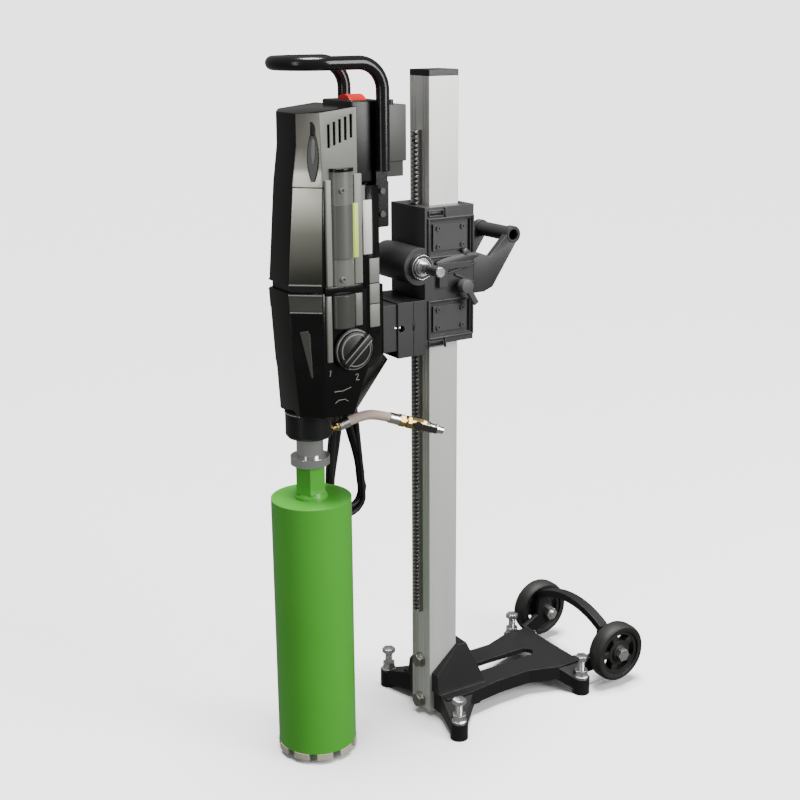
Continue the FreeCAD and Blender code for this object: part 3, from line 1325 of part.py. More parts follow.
def bent_tube(label, points, diameter):
    """Straight runs joined by tangent arcs as large as the runs allow."""
    corners = [Vector(*p) for p in points]
    edges = []
    start = corners[0]
    length = 0
    for before, here, after in zip(corners, corners[1:], corners[2:]):
        come = (here - before).normalize()
        go = (after - here).normalize()
        turn = come.getAngle(go)
        trim = 0.45 * min((here - before).Length, (after - here).Length)
        radius = trim / math.tan(turn / 2)
        print(f"{label}: bend radius {radius:.1f} mm, {radius / diameter:.1f} diameters")
        first = here - come * trim
        last = here + go * trim
        inward = (go - come).normalize()
        middle = here + inward * (radius / math.cos(turn / 2) - radius)
        edges.append(Part.LineSegment(start, first).toShape())
        edges.append(Part.Arc(first, middle, last).toShape())
        length += (first - start).Length + radius * turn
        start = last
    edges.append(Part.LineSegment(start, corners[-1]).toShape())
    length += (corners[-1] - start).Length
    path = Part.Wire(edges)
    circle = Part.Wire(Part.makeCircle(diameter / 2, corners[0], corners[1] - corners[0]))
    tube = path.makePipeShell([circle], True, False)
    expected = math.pi * diameter ** 2 / 4 * length
    if abs(tube.Volume / expected - 1) > 0.01:
        raise ValueError(f"{label}: volume {tube.Volume:.0f}, expected {expected:.0f}")
    print(f"{label}: length {length:.0f} mm")
    shape_piece(label, tube)


def fitting(pieces, start, direction):
    """Rods and hexagons in a row along one axis, and the point where they end."""
    solids = []
    reach = 0.0
    for kind, width, length in pieces:
        if kind == "hex":
            radius = width / math.sqrt(3)
            corners = [Vector(reach, radius * math.cos(math.radians(60 * i)),
                              radius * math.sin(math.radians(60 * i))) for i in range(6)]
            solid = Part.Face(Part.makePolygon(corners + [corners[0]])).extrude(
                Vector(length, 0, 0))
        else:
            solid = Part.makeCylinder(width, length, Vector(reach, 0, 0), Vector(1, 0, 0))
        solids.append(solid)
        reach += length
    joined = solids[0].fuse(solids[1:]) if len(solids) > 1 else solids[0]
    joined.Placement = Placement(start, Rotation(Vector(1, 0, 0), direction))
    return joined, start + direction * reach


def make_water_feed():
    """Inlet nipple, braided hose with ferrules, ball valve and hose connector."""
    radius = size("hose_diameter") / 2
    first = Vector(*HOSE_ROUTE[0])
    last = Vector(*HOSE_ROUTE[-1])
    tail = (last - Vector(*HOSE_ROUTE[-2])).normalize()
    root = math.sqrt(size("nose_radius") ** 2 - first.y ** 2) + size("spindle_x") - 0.2
    lead = (Vector(*HOSE_ROUTE[1]) - first).normalize()
    reach = (first.x - root) / lead.x
    nipple, inner_from = fitting([("rod", 4.5, reach - 20), ("hex", 12, 4)],
                                 first - lead * reach, lead)
    shape_piece("inlet_nipple", nipple)
    inner, _ = fitting([("rod", radius + 1, 16)], inner_from, lead)
    bent_tube("water_hose", HOSE_ROUTE, size("hose_diameter"))
    outer, valve_from = fitting([("rod", radius + 1, 16)], last, tail)
    shape_piece("hose_ferrules", Part.makeCompound([inner, outer]))
    valve, connector_from = fitting([("hex", 17, 8), ("rod", 6.5, 4), ("hex", 17, 6),
                                     ("rod", 9, 18), ("hex", 17, 6)], valve_from, tail)
    shape_piece("ball_valve", valve)
    connector, _ = fitting([("rod", 6, 8), ("rod", 8.5, 5), ("rod", 5.5, 5), ("rod", 7.5, 4),
                            ("rod", 6, 8)], connector_from, tail)
    shape_piece("hose_connector", connector)
    make_valve_lever(valve_from + tail * 27, tail)


def valve_axis():
    """The valve lever's axis, level and square to the valve."""
    last = Vector(*HOSE_ROUTE[-1])
    tail = (last - Vector(*HOSE_ROUTE[-2])).normalize()
    return Vector(tail.y, -tail.x, 0).normalize()


def make_valve_lever(middle, tail):
    """Quarter-turn lever on the side of the valve."""
    axis = valve_axis()
    stem = Part.makeCylinder(2.5, 6, middle + axis * 9.1, axis)
    hub = Part.makeCylinder(6.5, 5, middle + axis * 10, axis)
    arm = Part.makeBox(30, 9, 3)
    arm.translate(Vector(0, -4.5, 0))
    third = axis.cross(tail)
    matrix = FreeCAD.Matrix(tail.x, third.x, axis.x, 0, tail.y, third.y, axis.y, 0,
                            tail.z, third.z, axis.z, 0, 0, 0, 0, 1)
    arm = arm.transformGeometry(matrix)
    arm.translate(middle + axis * 11.5)
    shape_piece("valve_lever", stem.fuse([hub, arm]))


# ---------------------------------------------------------------- mains lead

def make_mains_lead():
    """Gland under the electronics box, free lead, hank and plug."""
    diameter = size("cable_diameter")
    start = Vector(*CORD_ROUTE[0])
    cone = size("box_low") - 25 - start.z
    gland = Part.makeCylinder(8, 4, start + Vector(0, 0, cone))
    gland = gland.fuse(Part.makeCone(diameter / 2 + 0.6, 7, cone, start))
    shape_piece("cord_gland", gland)
    bent_tube("mains_cord", CORD_ROUTE, diameter)
    top = Vector(*CORD_ROUTE[-1])
    width = size("hank_width")
    depth = size("hank_depth")
    low = size("hank_low")
    hank = Part.makeBox(width, depth, top.z - low - width / 2,
                        Vector(top.x - width / 2, top.y - depth / 2, low + width / 2))
    end = Part.makeCylinder(width / 2, depth, Vector(top.x, top.y - depth / 2,
                                                     low + width / 2), Vector(0, 1, 0))
    shape_piece("cord_hank", hank.fuse(end).removeSplitter())
    plug_y = top.y + depth / 2 + 17
    plug = Part.makeCylinder(17, 40, Vector(top.x, plug_y, 500))
    plug = plug.fuse(Part.makeCone(17, 7, 22, Vector(top.x, plug_y, 540)))
    for sign in (-1, 1):
        plug = plug.fuse(Part.makeCylinder(2.4, 19.4, Vector(top.x + sign * 9.5, plug_y, 480.6)))
    shape_piece("mains_plug", plug)


# ---------------------------------------------------------------- build and write

def check():
    """Stop on any failed object or bad shape."""
    DOC.recompute()
    for obj in DOC.Objects:
        if "Invalid" in obj.State or "Error" in obj.State:
            raise ValueError(f"{obj.Name}: {obj.State}")
    for obj in PIECES:
        if obj.Shape.isNull() or not obj.Shape.isValid():
            raise ValueError(f"{obj.Label}: bad shape")


def write():
    """Write each sub-part to its own STEP file."""
    os.makedirs("parts", exist_ok=True)
    for obj in PIECES:
        obj.Shape.exportStep(f"parts/{obj.Label}.step")
    print(len(PIECES), "sub-parts")


make_column()
make_column_cap()
make_rack()
make_rack_screws()
make_column_bolts()
make_base()
make_leveling_screws()
make_locknuts()
make_wheel_bracket()
make_wheel_bolts()
make_wheels()
make_carriage()
make_guide_pads()
make_side_plates()
make_feed_shaft()
make_carry_handle()
make_locks()
make_motor_mount()
make_gear_housing()
make_motor_housing()
make_motor_cap()
make_bearing_plate()
make_gear_bridge()
make_bearings()
make_gear_train()
make_stator()
make_spindle()
make_nose()
make_barrel()
make_gear_knob()
make_tube_handle()
make_controls()
make_water_feed()
make_mains_lead()
check()
write()
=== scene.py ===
import math

import bmesh
import bpy
from mathutils import Matrix, Vector


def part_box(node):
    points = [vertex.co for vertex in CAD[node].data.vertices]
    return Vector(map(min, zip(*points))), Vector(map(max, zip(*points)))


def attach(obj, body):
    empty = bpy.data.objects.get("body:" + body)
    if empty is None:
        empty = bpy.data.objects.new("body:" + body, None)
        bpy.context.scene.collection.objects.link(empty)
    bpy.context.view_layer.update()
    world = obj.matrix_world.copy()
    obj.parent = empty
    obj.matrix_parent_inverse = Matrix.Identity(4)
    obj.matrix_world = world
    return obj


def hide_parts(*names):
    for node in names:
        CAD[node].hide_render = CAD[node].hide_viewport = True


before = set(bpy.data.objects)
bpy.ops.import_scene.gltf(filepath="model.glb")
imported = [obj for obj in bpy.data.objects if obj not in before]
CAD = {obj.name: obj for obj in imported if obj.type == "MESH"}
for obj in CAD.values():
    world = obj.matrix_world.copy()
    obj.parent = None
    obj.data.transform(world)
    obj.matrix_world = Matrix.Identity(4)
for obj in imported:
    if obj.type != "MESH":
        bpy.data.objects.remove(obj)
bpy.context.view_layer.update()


def middle(node):
    """The middle of a CAD node's box."""
    low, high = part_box(node)
    return (Vector(low) + Vector(high)) / 2


# ---- Base casting -------------------------------------------------------------------------
# Grey iron, sand cast, shot blasted and coated satin black.  Its column socket, four bosses
# and anchor slot are machined through the coating.

class Wire:
    """One socket of a finish; arithmetic on it adds Math nodes."""

    def __init__(self, finish, socket):
        self.finish = finish
        self.socket = socket

    def math(self, operation, *values):
        return self.finish.node("Math", {"operation": operation}, dict(enumerate(values)))

    def __add__(self, other):
        return self.math("ADD", self, other)

    def __radd__(self, other):
        return self.math("ADD", other, self)

    def __sub__(self, other):
        return self.math("SUBTRACT", self, other)

    def __rsub__(self, other):
        return self.math("SUBTRACT", other, self)

    def __mul__(self, other):
        return self.math("MULTIPLY", self, other)

    def __gt__(self, other):
        return self.math("GREATER_THAN", self, other)

    def clamp(self):
        return self.finish.node("Clamp", {}, {0: self})


class Finish:
    """A material built round one Principled shader."""

    def __init__(self, name, **settings):
        self.material = bpy.data.materials.new(name)
        self.material.use_nodes = True
        self.nodes = self.material.node_tree.nodes
        self.links = self.material.node_tree.links
        self.shader = self.nodes["Principled BSDF"]
        self.set(**settings)

    def set(self, **settings):
        for key, value in settings.items():
            self.join(value, self.shader.inputs[key.replace("_", " ")])

    def join(self, value, socket):
        if isinstance(value, Wire):
            self.links.new(value.socket, socket)
        else:
            socket.default_value = value

    def node(self, kind, settings, sockets, out=0):
        """Any node: its type, its settings, its sockets' values or wires, and one output."""
        made = self.nodes.new("ShaderNode" + kind)
        for key, value in settings.items():
            if key == "stops":
                ramp = made.color_ramp
                ramp.elements[0].position, ramp.elements[0].color = value[0]
                ramp.elements[1].position, ramp.elements[1].color = value[-1]
                for place, colour in value[1:-1]:
                    ramp.elements.new(place).color = colour
            else:
                setattr(made, key, value)
        for key, value in sockets.items():
            self.join(value, made.inputs[key])
        return Wire(self, made.outputs[out])

    def place(self, *stretch, turn=(0, 0, 0)):
        """Object coordinates, stretched along each axis."""
        here = self.node("TexCoord", {}, {}, "Object")
        return self.node("Mapping", {}, {"Vector": here, "Scale": stretch, "Rotation": turn})

    def noise(self, scale, detail=3, stretch=(1, 1, 1)):
        return self.node("TexNoise", {}, {"Vector": self.place(*stretch), "Scale": scale,
                                          "Detail": detail}, "Fac")

    def mix(self, first, second, share):
        return self.node("Mix", {"data_type": "RGBA"}, {0: share, 6: first, 7: second}, 2)

    def edges(self, radius):
        """The normal with rounded edges, and how near an edge is."""
        rounded = self.node("Bevel", {"samples": 6}, {"Radius": radius})
        flat = self.node("NewGeometry", {}, {}, "Normal")
        match = self.node("VectorMath", {"operation": "DOT_PRODUCT"},
                          {0: rounded, 1: flat}, "Value")
        return rounded, ((1 - match) * 6).clamp()

    def relief(self, height, distance, normal=None, strength=1.0):
        sockets = {"Height": height, "Distance": distance, "Strength": strength}
        if normal is not None:
            sockets["Normal"] = normal
        self.set(Normal=self.node("Bump", {}, sockets))


def wear(node, finish):
    """Give a CAD node its finish."""
    CAD[node].data.materials.clear()
    CAD[node].data.materials.append(finish.material)


def coated(name, tone, rough, grain, radius=0.0012):
    """Black coating with a fine grain, rubbed thin along its edges."""
    finish = Finish(name, Specular_IOR_Level=0.35)
    rounded, edge = finish.edges(radius)
    cloud = finish.noise(9, 4)
    rub = edge * (finish.noise(60, 4) > 0.47)
    base = finish.mix((tone, tone, tone * 1.03, 1), (tone * 2.1, tone * 2.1, tone * 2.2, 1),
                      cloud * 0.5)
    finish.set(Base_Color=finish.mix(base, (0.11, 0.11, 0.115, 1), rub * 0.35),
               Roughness=rough + (cloud - 0.5) * 0.16 + rub * 0.08)
    finish.relief(finish.noise(grain, 2), 0.00012, rounded, 0.7)
    return finish


cast_coat = coated("cast_black_coat", 0.005, 0.42, 900)
wear("base_casting", cast_coat)


# ---- Column -------------------------------------------------------------------------------
# 50 mm square aluminium extrusion, silver anodised.  The die leaves fine lines along it, and
# its top is closed by a black cap with a plug inside.

COLUMN_X = middle("column").x
silver = Finish("silver_anodised", Metallic=0.45)
silver_round, silver_edge = silver.edges(0.0012)
die_lines = silver.noise(1, 3, (900, 900, 3))
broad = silver.noise(1, 2, (45, 45, 1.5))
silver.set(Base_Color=silver.mix((0.60, 0.60, 0.585, 1), (0.72, 0.72, 0.70, 1), broad),
           Roughness=0.34 + die_lines * 0.12 - silver_edge * 0.08)
silver.relief(die_lines, 0.00006, silver_round, 0.6)
wear("column", silver)

cap_plastic = coated("cap_plastic", 0.006, 0.30, 1500, 0.0018)
wear("column_cap", cap_plastic)


# ---- Rack ---------------------------------------------------------------------------------
# Milled steel bar with module 2 teeth, blackened and oiled, held by socket screws that are
# sunk below the teeth.

rack_steel = Finish("rack_steel", Metallic=0.9)
rack_round, rack_edge = rack_steel.edges(0.0005)
oil = rack_steel.noise(40, 4)
rack_steel.set(Base_Color=rack_steel.mix((0.20, 0.19, 0.18, 1), (0.50, 0.49, 0.47, 1),
                                         rack_edge + oil * 0.3),
               Roughness=0.28 + oil * 0.22)
rack_steel.relief(rack_steel.noise(1, 2, (3000, 60, 3000)), 0.00004, rack_round, 0.5)
wear("bearing_plate", cap_plastic)
for node in ("gear_rack", "gear_bridge", "stator_core"):
    wear(node, rack_steel)


# ---- Bolts and levelling screws -----------------------------------------------------------
# Zinc plated M12 hex bolts, nuts and washers.  The plating is bright, mottled and a little
# scuffed where a spanner has held the flats.

zinc = Finish("zinc_plate", Metallic=1.0)
zinc_round, zinc_edge = zinc.edges(0.0008)
mottle = zinc.noise(130, 4)
zinc.set(Base_Color=zinc.mix((0.58, 0.58, 0.59, 1), (0.84, 0.84, 0.83, 1), mottle),
         Roughness=0.20 + mottle * 0.18 + zinc_edge * 0.1)
zinc.relief(zinc.noise(1400, 2), 0.00005, zinc_round, 0.5)
for node in ("wheel_bolts", "leveling_locknuts", "rack_screws"):
    wear(node, zinc)
aged_zinc = Finish("aged_zinc", Metallic=1.0)
aged_round, aged_edge = aged_zinc.edges(0.0012)
dulling = aged_zinc.noise(90, 4)
aged_zinc.set(Base_Color=aged_zinc.mix((0.20, 0.19, 0.165, 1), (0.46, 0.445, 0.40, 1),
                                       dulling * 0.6 + aged_edge * 0.9),
              Roughness=0.22 + dulling * 0.16)
aged_zinc.relief(dulling, 0.00005, aged_round, 0.5)
wear("column_bolts", aged_zinc)
SCREW_NAME = "leveling_screw_"
SCREWS = [name for name in CAD if name.startswith(SCREW_NAME)]
SCREW_RADIUS = 0.006
HEAD_HEIGHT = 0.0075
HEAD_ACROSS = 0.019


def placed(shape, centre):
    """Finish a bmesh: move it to its place and turn its faces outward."""
    shape.transform(Matrix.Translation(centre))
    bmesh.ops.remove_doubles(shape, verts=shape.verts, dist=1e-6)
    bmesh.ops.recalc_face_normals(shape, faces=shape.faces)
    return shape


def new_piece(name, shape, finish, body, smooth=35):
    """Make an object from a bmesh, with its finish, body and material slot."""
    mesh = bpy.data.meshes.new(name)
    shape.to_mesh(mesh)
    shape.free()
    thing = bpy.data.objects.new(name, mesh)
    bpy.context.scene.collection.objects.link(thing)
    mesh.materials.append(finish.material)
    mesh.shade_smooth()
    mesh.set_sharp_from_angle(angle=math.radians(smooth))
    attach(thing, body)
    return thing


def turned(profile, steps=48):
    """A closed turned shape about Z from (radius, height) corners."""
    shape = bmesh.new()
    points = [shape.verts.new((radius, 0, height)) for radius, height in profile]
    edges = [shape.edges.new((points[i], points[(i + 1) % len(points)]))
             for i in range(len(points))]
    bmesh.ops.spin(shape, geom=points + edges, cent=(0, 0, 0), axis=(0, 0, 1),
                   angle=math.tau, steps=steps, use_merge=True)
    bmesh.ops.remove_doubles(shape, verts=shape.verts, dist=1e-6)
    bmesh.ops.recalc_face_normals(shape, faces=shape.faces)
    return shape


def box_shape(low, high, bevel=0.0, segments=2):
    """A box between two corners with rounded edges."""
    shape = bmesh.new()
    bmesh.ops.create_cube(shape, size=1)
    size = Vector(high) - Vector(low)
    shape.transform(Matrix.Translation((Vector(high) + Vector(low)) / 2)
                    @ Matrix.Diagonal((*size, 1)))
    if bevel > 0:
        bmesh.ops.bevel(shape, geom=shape.edges[:], offset=bevel, offset_type="OFFSET",
                        segments=segments, profile=0.5, affect="EDGES", material=-1,
                        clamp_overlap=True)
    bmesh.ops.recalc_face_normals(shape, faces=shape.faces)
    return shape


def add(shape, other):
    """Join another bmesh to this one."""
    mesh = bpy.data.meshes.new("part")
    other.to_mesh(mesh)
    other.free()
    shape.from_mesh(mesh)
    bpy.data.meshes.remove(mesh)
    return shape


THREAD_PITCH = 0.00175
THREAD_DEPTH = 0.001


def threaded(low, high, radius):
    """A turned rod whose thread is cut as closed rings of the real pitch."""
    root = radius - THREAD_DEPTH
    profile = [(0.0, low), (root, low)]
    turns = int((high - low) / THREAD_PITCH)
    for i in range(turns):
        start = low + i * (high - low) / turns
        profile.append((root, start + 0.0002))
        profile.append((radius - 0.0001, start + 0.0008))
        profile.append((radius - 0.0001, start + 0.0011))
    profile += [(root, high), (0.0, high)]
    return turned(profile, 32)


def hex_head(low, high, across):
    """A hexagon with its top corners rounded off by a cone."""
    shape = bmesh.new()
    bmesh.ops.create_cone(shape, cap_ends=True, segments=6, radius1=across / math.sqrt(3),
                          radius2=across / math.sqrt(3), depth=high - low)
    shape.transform(Matrix.Translation((0, 0, (low + high) / 2)))
    rim = [e for e in shape.edges if all(v.co.z > high - 1e-5 for v in e.verts)]
    bmesh.ops.bevel(shape, geom=rim, offset=0.0012, offset_type="OFFSET", segments=2,
                    profile=0.5, affect="EDGES", material=-1)
    return shape


for node in SCREWS:
    low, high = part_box(node)
    centre = middle(node)
    head_low = high[2] - HEAD_HEIGHT
    screw = threaded(low[2], head_low, SCREW_RADIUS)
    add(screw, hex_head(head_low, high[2], HEAD_ACROSS))
    placed(screw, (centre.x, centre.y, 0))
    piece = new_piece(node + "_threaded", screw, zinc, "screw_" + node[len(SCREW_NAME):])
    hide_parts(node)


# ---- Wheels -------------------------------------------------------------------------------
# One-piece black wheels: a rounded solid tread, a dished web with five windows and ribs, and
# a hub that turns on a bolt.

tread = Finish("wheel_rubber", Specular_IOR_Level=0.4)
tread_round, _ = tread.edges(0.001)
dust = tread.noise(30, 5)
tread.set(Base_Color=tread.mix((0.006, 0.006, 0.006, 1), (0.025, 0.024, 0.022, 1), dust * 0.5),
          Roughness=0.42 + dust * 0.2)
tread.relief(tread.noise(700, 2), 0.00015, tread_round, 0.6)

WHEEL_RADIUS = 0.0495
WHEEL_HALF = 0.014
WHEEL_SPOKES = 5
WEB_HALF = 0.0095


def wheel_shape():
    """Solid tread, recessed web with five windows, and hub, about Z and centred on it."""
    rim = WHEEL_RADIUS - 0.0115
    tyre = turned([(rim, -WHEEL_HALF + 0.001), (rim + 0.003, -WHEEL_HALF),
                   (WHEEL_RADIUS - 0.004, -WHEEL_HALF), (WHEEL_RADIUS - 0.0012, -0.0112),
                   (WHEEL_RADIUS, -0.006), (WHEEL_RADIUS, 0.006),
                   (WHEEL_RADIUS - 0.0012, 0.0112), (WHEEL_RADIUS - 0.004, WHEEL_HALF),
                   (rim + 0.003, WHEEL_HALF), (rim, WHEEL_HALF - 0.001)], 96)
    add(tyre, turned([(0.0062, -WHEEL_HALF), (0.0135, -WHEEL_HALF), (0.0150, -0.0125),
                      (0.0150, 0.0125), (0.0135, WHEEL_HALF), (0.0062, WHEEL_HALF)], 48))
    add(tyre, turned([(0.0140, -0.0100), (0.0215, -WEB_HALF), (0.0215, WEB_HALF),
                      (0.0140, 0.0100)], 72))
    add(tyre, turned([(rim - 0.0060, -WEB_HALF), (rim + 0.0005, -WEB_HALF),
                      (rim + 0.0005, WEB_HALF), (rim - 0.0060, WEB_HALF)], 96))
    for i in range(WHEEL_SPOKES):
        turn = Matrix.Rotation(math.tau * (i + 0.5) / WHEEL_SPOKES, 4, "Z")
        spoke = box_shape((0.0190, -0.0068, -0.0088), (0.0345, 0.0068, 0.0088), 0.0024)
        spoke.transform(turn)
        add(tyre, spoke)
    return tyre


for side in ("right", "left"):
    node = "wheel_" + side
    wheel = wheel_shape()
    wheel.transform(Matrix.Translation(middle(node)) @ Matrix.Rotation(math.pi / 2, 4, "X"))
    piece = new_piece(node + "_moulded", wheel, tread, side + "_wheel", 30)
    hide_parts(node)
wear("wheel_bracket", cast_coat)


# ---- Carriage -----------------------------------------------------------------------------
# Aluminium casting with a satin black coat.  Cover plates with socket screws close the guide
# adjusters in framed recesses, and the bearing flange stands over the pinion case.

machine_coat = coated("carriage_coat", 0.025, 0.40, 1300)
plate_coat = coated("plate_coat", 0.034, 0.40, 1800, 0.0006)


def softened(name, node, finish, body, width, segments=3, angle=32):
    """A copy of a CAD node with its sharp edges rounded, in place of the node."""
    shape = bmesh.new()
    shape.from_mesh(CAD[node].data)
    bmesh.ops.remove_doubles(shape, verts=shape.verts, dist=2e-6)
    bmesh.ops.dissolve_limit(shape, angle_limit=math.radians(1.5), verts=shape.verts,
                             edges=shape.edges)
    sharp = [e for e in shape.edges if len(e.link_faces) == 2
             and e.calc_face_angle(0) > math.radians(angle)]
    bmesh.ops.bevel(shape, geom=sharp, offset=width, offset_type="OFFSET", segments=segments,
                    profile=0.5, affect="EDGES", material=-1, clamp_overlap=True)
    bmesh.ops.triangulate(shape, faces=[f for f in shape.faces if len(f.verts) > 4])
    piece = new_piece(name, shape, finish, body, 40)
    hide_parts(node)
    return piece


for node in ("carriage_casting", "mount_plate", "mount_block", "lock_bar"):
    wear(node, machine_coat)
wear("side_plates", plate_coat)
PLATE_X = middle("side_plates").x
FACE = 0.045
SINK = 0.0006

block = middle("mount_block")
block_low, block_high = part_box("mount_block")
seams = bmesh.new()
for side in (-1, 1):
    add(seams, box_shape((block.x + 0.0030, side * FACE - 0.0003, block_low[2] + 0.001),
                         (block.x + 0.0040, side * FACE + 0.0003, block_high[2] - 0.001)))
    add(seams, box_shape((block.x + 0.0015, side * FACE - 0.0005, block.z - 0.002),
                         (block.x + 0.0055, side * FACE + 0.0005, block.z + 0.010), 0.0003))
new_piece("block_seams", seams, cap_plastic, "carriage")
clamp_pin = bmesh.new()
bmesh.ops.create_cone(clamp_pin, cap_ends=True, segments=24, radius1=0.0032, radius2=0.0032,
                      depth=0.010)
clamp_pin.transform(Matrix.Translation((block_low[0] + 0.0010, -0.0395, block.z + 0.004))
                    @ Matrix.Rotation(math.pi / 2, 4, "Y"))
new_piece("clamp_pin", clamp_pin, zinc, "carriage")
screw_black = coated("socket_screw_black", 0.045, 0.26, 2500, 0.0005)
wear("side_plate_screws", screw_black)
softened("carry_arms_cast", "carry_arms", machine_coat, "carriage", 0.002)



def on_face(side, x, z, length, height, thick, bevel=0.0008, turn=0.0):
    """A raised bar on one side of the carriage; thick is how far it stands out."""
    bar = box_shape((-length / 2, -thick / 2, -height / 2), (length / 2, thick / 2, height / 2),
                    bevel, 3)
    bar.transform(Matrix.Translation((x, side * (FACE + thick / 2 - SINK), z))
                  @ Matrix.Rotation(turn, 4, "Y"))
    return bar


# Each cover plate lies in a frame of four ridges, with a small slot above or below it.  Two
# more ridges cross between the plates.
RIDGE = 0.0032
FRAME_HALF_WIDTH = 0.0385
FRAME_HALF_HEIGHT = 0.0275
RIDGE_PROUD = 0.0040
SLOT_X = PLATE_X - 0.026

LOWER_PLATE_Z = 0.657
UPPER_PLATE_Z = 0.776
SLOT_RISE = 0.0355

ridges = bmesh.new()
for side in (-1, 1):
    for z, notch in ((LOWER_PLATE_Z, -1), (UPPER_PLATE_Z, 1)):
        for dz in (FRAME_HALF_HEIGHT, -FRAME_HALF_HEIGHT):
            add(ridges, on_face(side, PLATE_X, z + dz, 0.080, RIDGE, RIDGE_PROUD, 0.0014))
        for dx in (-FRAME_HALF_WIDTH, FRAME_HALF_WIDTH):
            add(ridges, on_face(side, PLATE_X + dx, z, RIDGE, 0.058, RIDGE_PROUD, 0.0014))
        slot_z = z + notch * SLOT_RISE
        for dz in (-0.0038, 0.0038):
            add(ridges, on_face(side, SLOT_X, slot_z + dz, 0.024, 0.0020, 0.0034))
        for dx in (-0.038, -0.0135):
            add(ridges, on_face(side, PLATE_X + dx, slot_z, 0.0020, 0.0092, 0.0034))
        add(ridges, on_face(side, PLATE_X - 0.010, z + notch * 0.036, 0.0026, 0.014, 0.0038))
    add(ridges, on_face(side, PLATE_X + 0.018, 0.7285, 0.050, RIDGE, RIDGE_PROUD, 0.0012, -0.22))
    add(ridges, on_face(side, PLATE_X + 0.024, 0.713, 0.038, RIDGE, RIDGE_PROUD, 0.0012, 0.40))
new_piece("carriage_ridges", ridges, plate_coat, "carriage")

# No slot is cut: a black sheet lies flush in each one as painted shade for its depth.
slot_shade_sheets = bmesh.new()
for side in (-1, 1):
    for slot_z in (LOWER_PLATE_Z - SLOT_RISE, UPPER_PLATE_Z + SLOT_RISE):
        add(slot_shade_sheets, on_face(side, SLOT_X, slot_z, 0.0225, 0.006, 0.0010, 0.0003))
new_piece("slot_shade_sheets", slot_shade_sheets, cap_plastic, "carriage")

leaf = bmesh.new()
bmesh.ops.create_cone(leaf, cap_ends=True, segments=32, radius1=0.0068, radius2=0.0068,
                      depth=0.0030)
leaf.transform(Matrix.Diagonal((5.6, 0.95, 1, 1)))
rim = [e for e in leaf.edges if e.calc_face_angle(0) > 1]
bmesh.ops.bevel(leaf, geom=rim, offset=0.0010, offset_type="OFFSET", segments=2, profile=0.5,
                affect="EDGES", material=-1)
leaf.transform(Matrix.Translation((PLATE_X + 0.010, -FACE - 0.0030, 0.7425))
               @ Matrix.Rotation(math.radians(-4), 4, "Y") @ Matrix.Rotation(math.pi / 2, 4, "X"))
new_piece("lock_leaf", leaf, plate_coat, "carriage")
leaf_bolt = hex_head(0.0, 0.005, 0.010)
leaf_bolt.transform(Matrix.Translation((PLATE_X + 0.024, -FACE - 0.0002, 0.752))
                    @ Matrix.Rotation(math.pi / 2, 4, "X"))
new_piece("leaf_bolt", leaf_bolt, screw_black, "carriage")

steel = Finish("machined_steel", Metallic=1.0)
steel_round, _ = steel.edges(0.0006)
rings = steel.noise(1, 2, (60, 900, 60))
steel.set(Base_Color=steel.mix((0.55, 0.55, 0.56, 1), (0.80, 0.80, 0.79, 1), rings),
          Roughness=0.16 + rings * 0.16)
steel.relief(rings, 0.00004, steel_round, 0.5)
for node in ("feed_shaft", "countershaft", "first_speed_gear", "second_speed_gear",
             "ball_bearings", "armature"):
    wear(node, steel)

flange_x = middle("feed_shaft").x
flange_z = middle("feed_shaft").z
FLANGE_SCREWS = 4
SCREW_CIRCLE = 0.0145
flange_screws = bmesh.new()
for i in range(FLANGE_SCREWS):
    angle = math.tau * (i + 0.5) / FLANGE_SCREWS
    head = turned([(0.0, 0.0), (0.0021, 0.0), (0.0021, 0.0010), (0.0017, 0.0014),
                   (0.0010, 0.0014), (0.0010, 0.0005), (0.0, 0.0005)], 20)
    head.transform(Matrix.Translation((flange_x + SCREW_CIRCLE * math.cos(angle), -0.051,
                                       flange_z + SCREW_CIRCLE * math.sin(angle)))
                   @ Matrix.Rotation(math.pi / 2, 4, "X"))
    add(flange_screws, head)
new_piece("flange_screws", flange_screws, screw_black, "carriage")
race = turned([(0.0110, 0.0), (0.0126, 0.0), (0.0130, 0.0004), (0.0130, 0.0016),
               (0.0110, 0.0016)], 56)
add(race, turned([(0.0168, 0.0005), (0.0176, 0.0005), (0.0176, 0.0016), (0.0168, 0.0016)], 56))
race.transform(Matrix.Translation((flange_x, -0.0502, flange_z))
               @ Matrix.Rotation(math.pi / 2, 4, "X"))
bmesh.ops.recalc_face_normals(race, faces=race.faces)
new_piece("bearing_race", race, steel, "carriage")


# ---- Carry grip and lock ------------------------------------------------------------------
# A plain coated steel tube held in eyes at the ends of the two arms, and a die cast winged
# knob on the lock's screw.

soft_black = coated("soft_black", 0.006, 0.48, 800)
wear("carry_grip", machine_coat)
knob_coat = coated("knob_coat", 0.055, 0.38, 1500, 0.0008)
softened("lock_knob_cast", "lock_knob", knob_coat, "lock", 0.0015)


# ---- Motor and gear housing ---------------------------------------------------------------
# Glass filled nylon shells with a gloss moulded skin over the motor, and a coated magnesium
# gear housing below, screwed together round the bearing plate.

def moulded(name, dark, light, rough, radius=0.002, specular=0.35, metallic=0.0):
    """Moulded or painted skin with a faint ripple and handling marks."""
    finish = Finish(name, Specular_IOR_Level=specular, Metallic=metallic)
    rounded, edge = finish.edges(radius)
    smear = finish.noise(14, 5)
    finish.set(Base_Color=finish.mix(dark, light, smear * 0.4),
               Roughness=rough + (smear - 0.4) * 0.12 + edge * 0.04)
    finish.relief(finish.noise(260, 2), 0.00008, rounded, 0.5)
    return finish


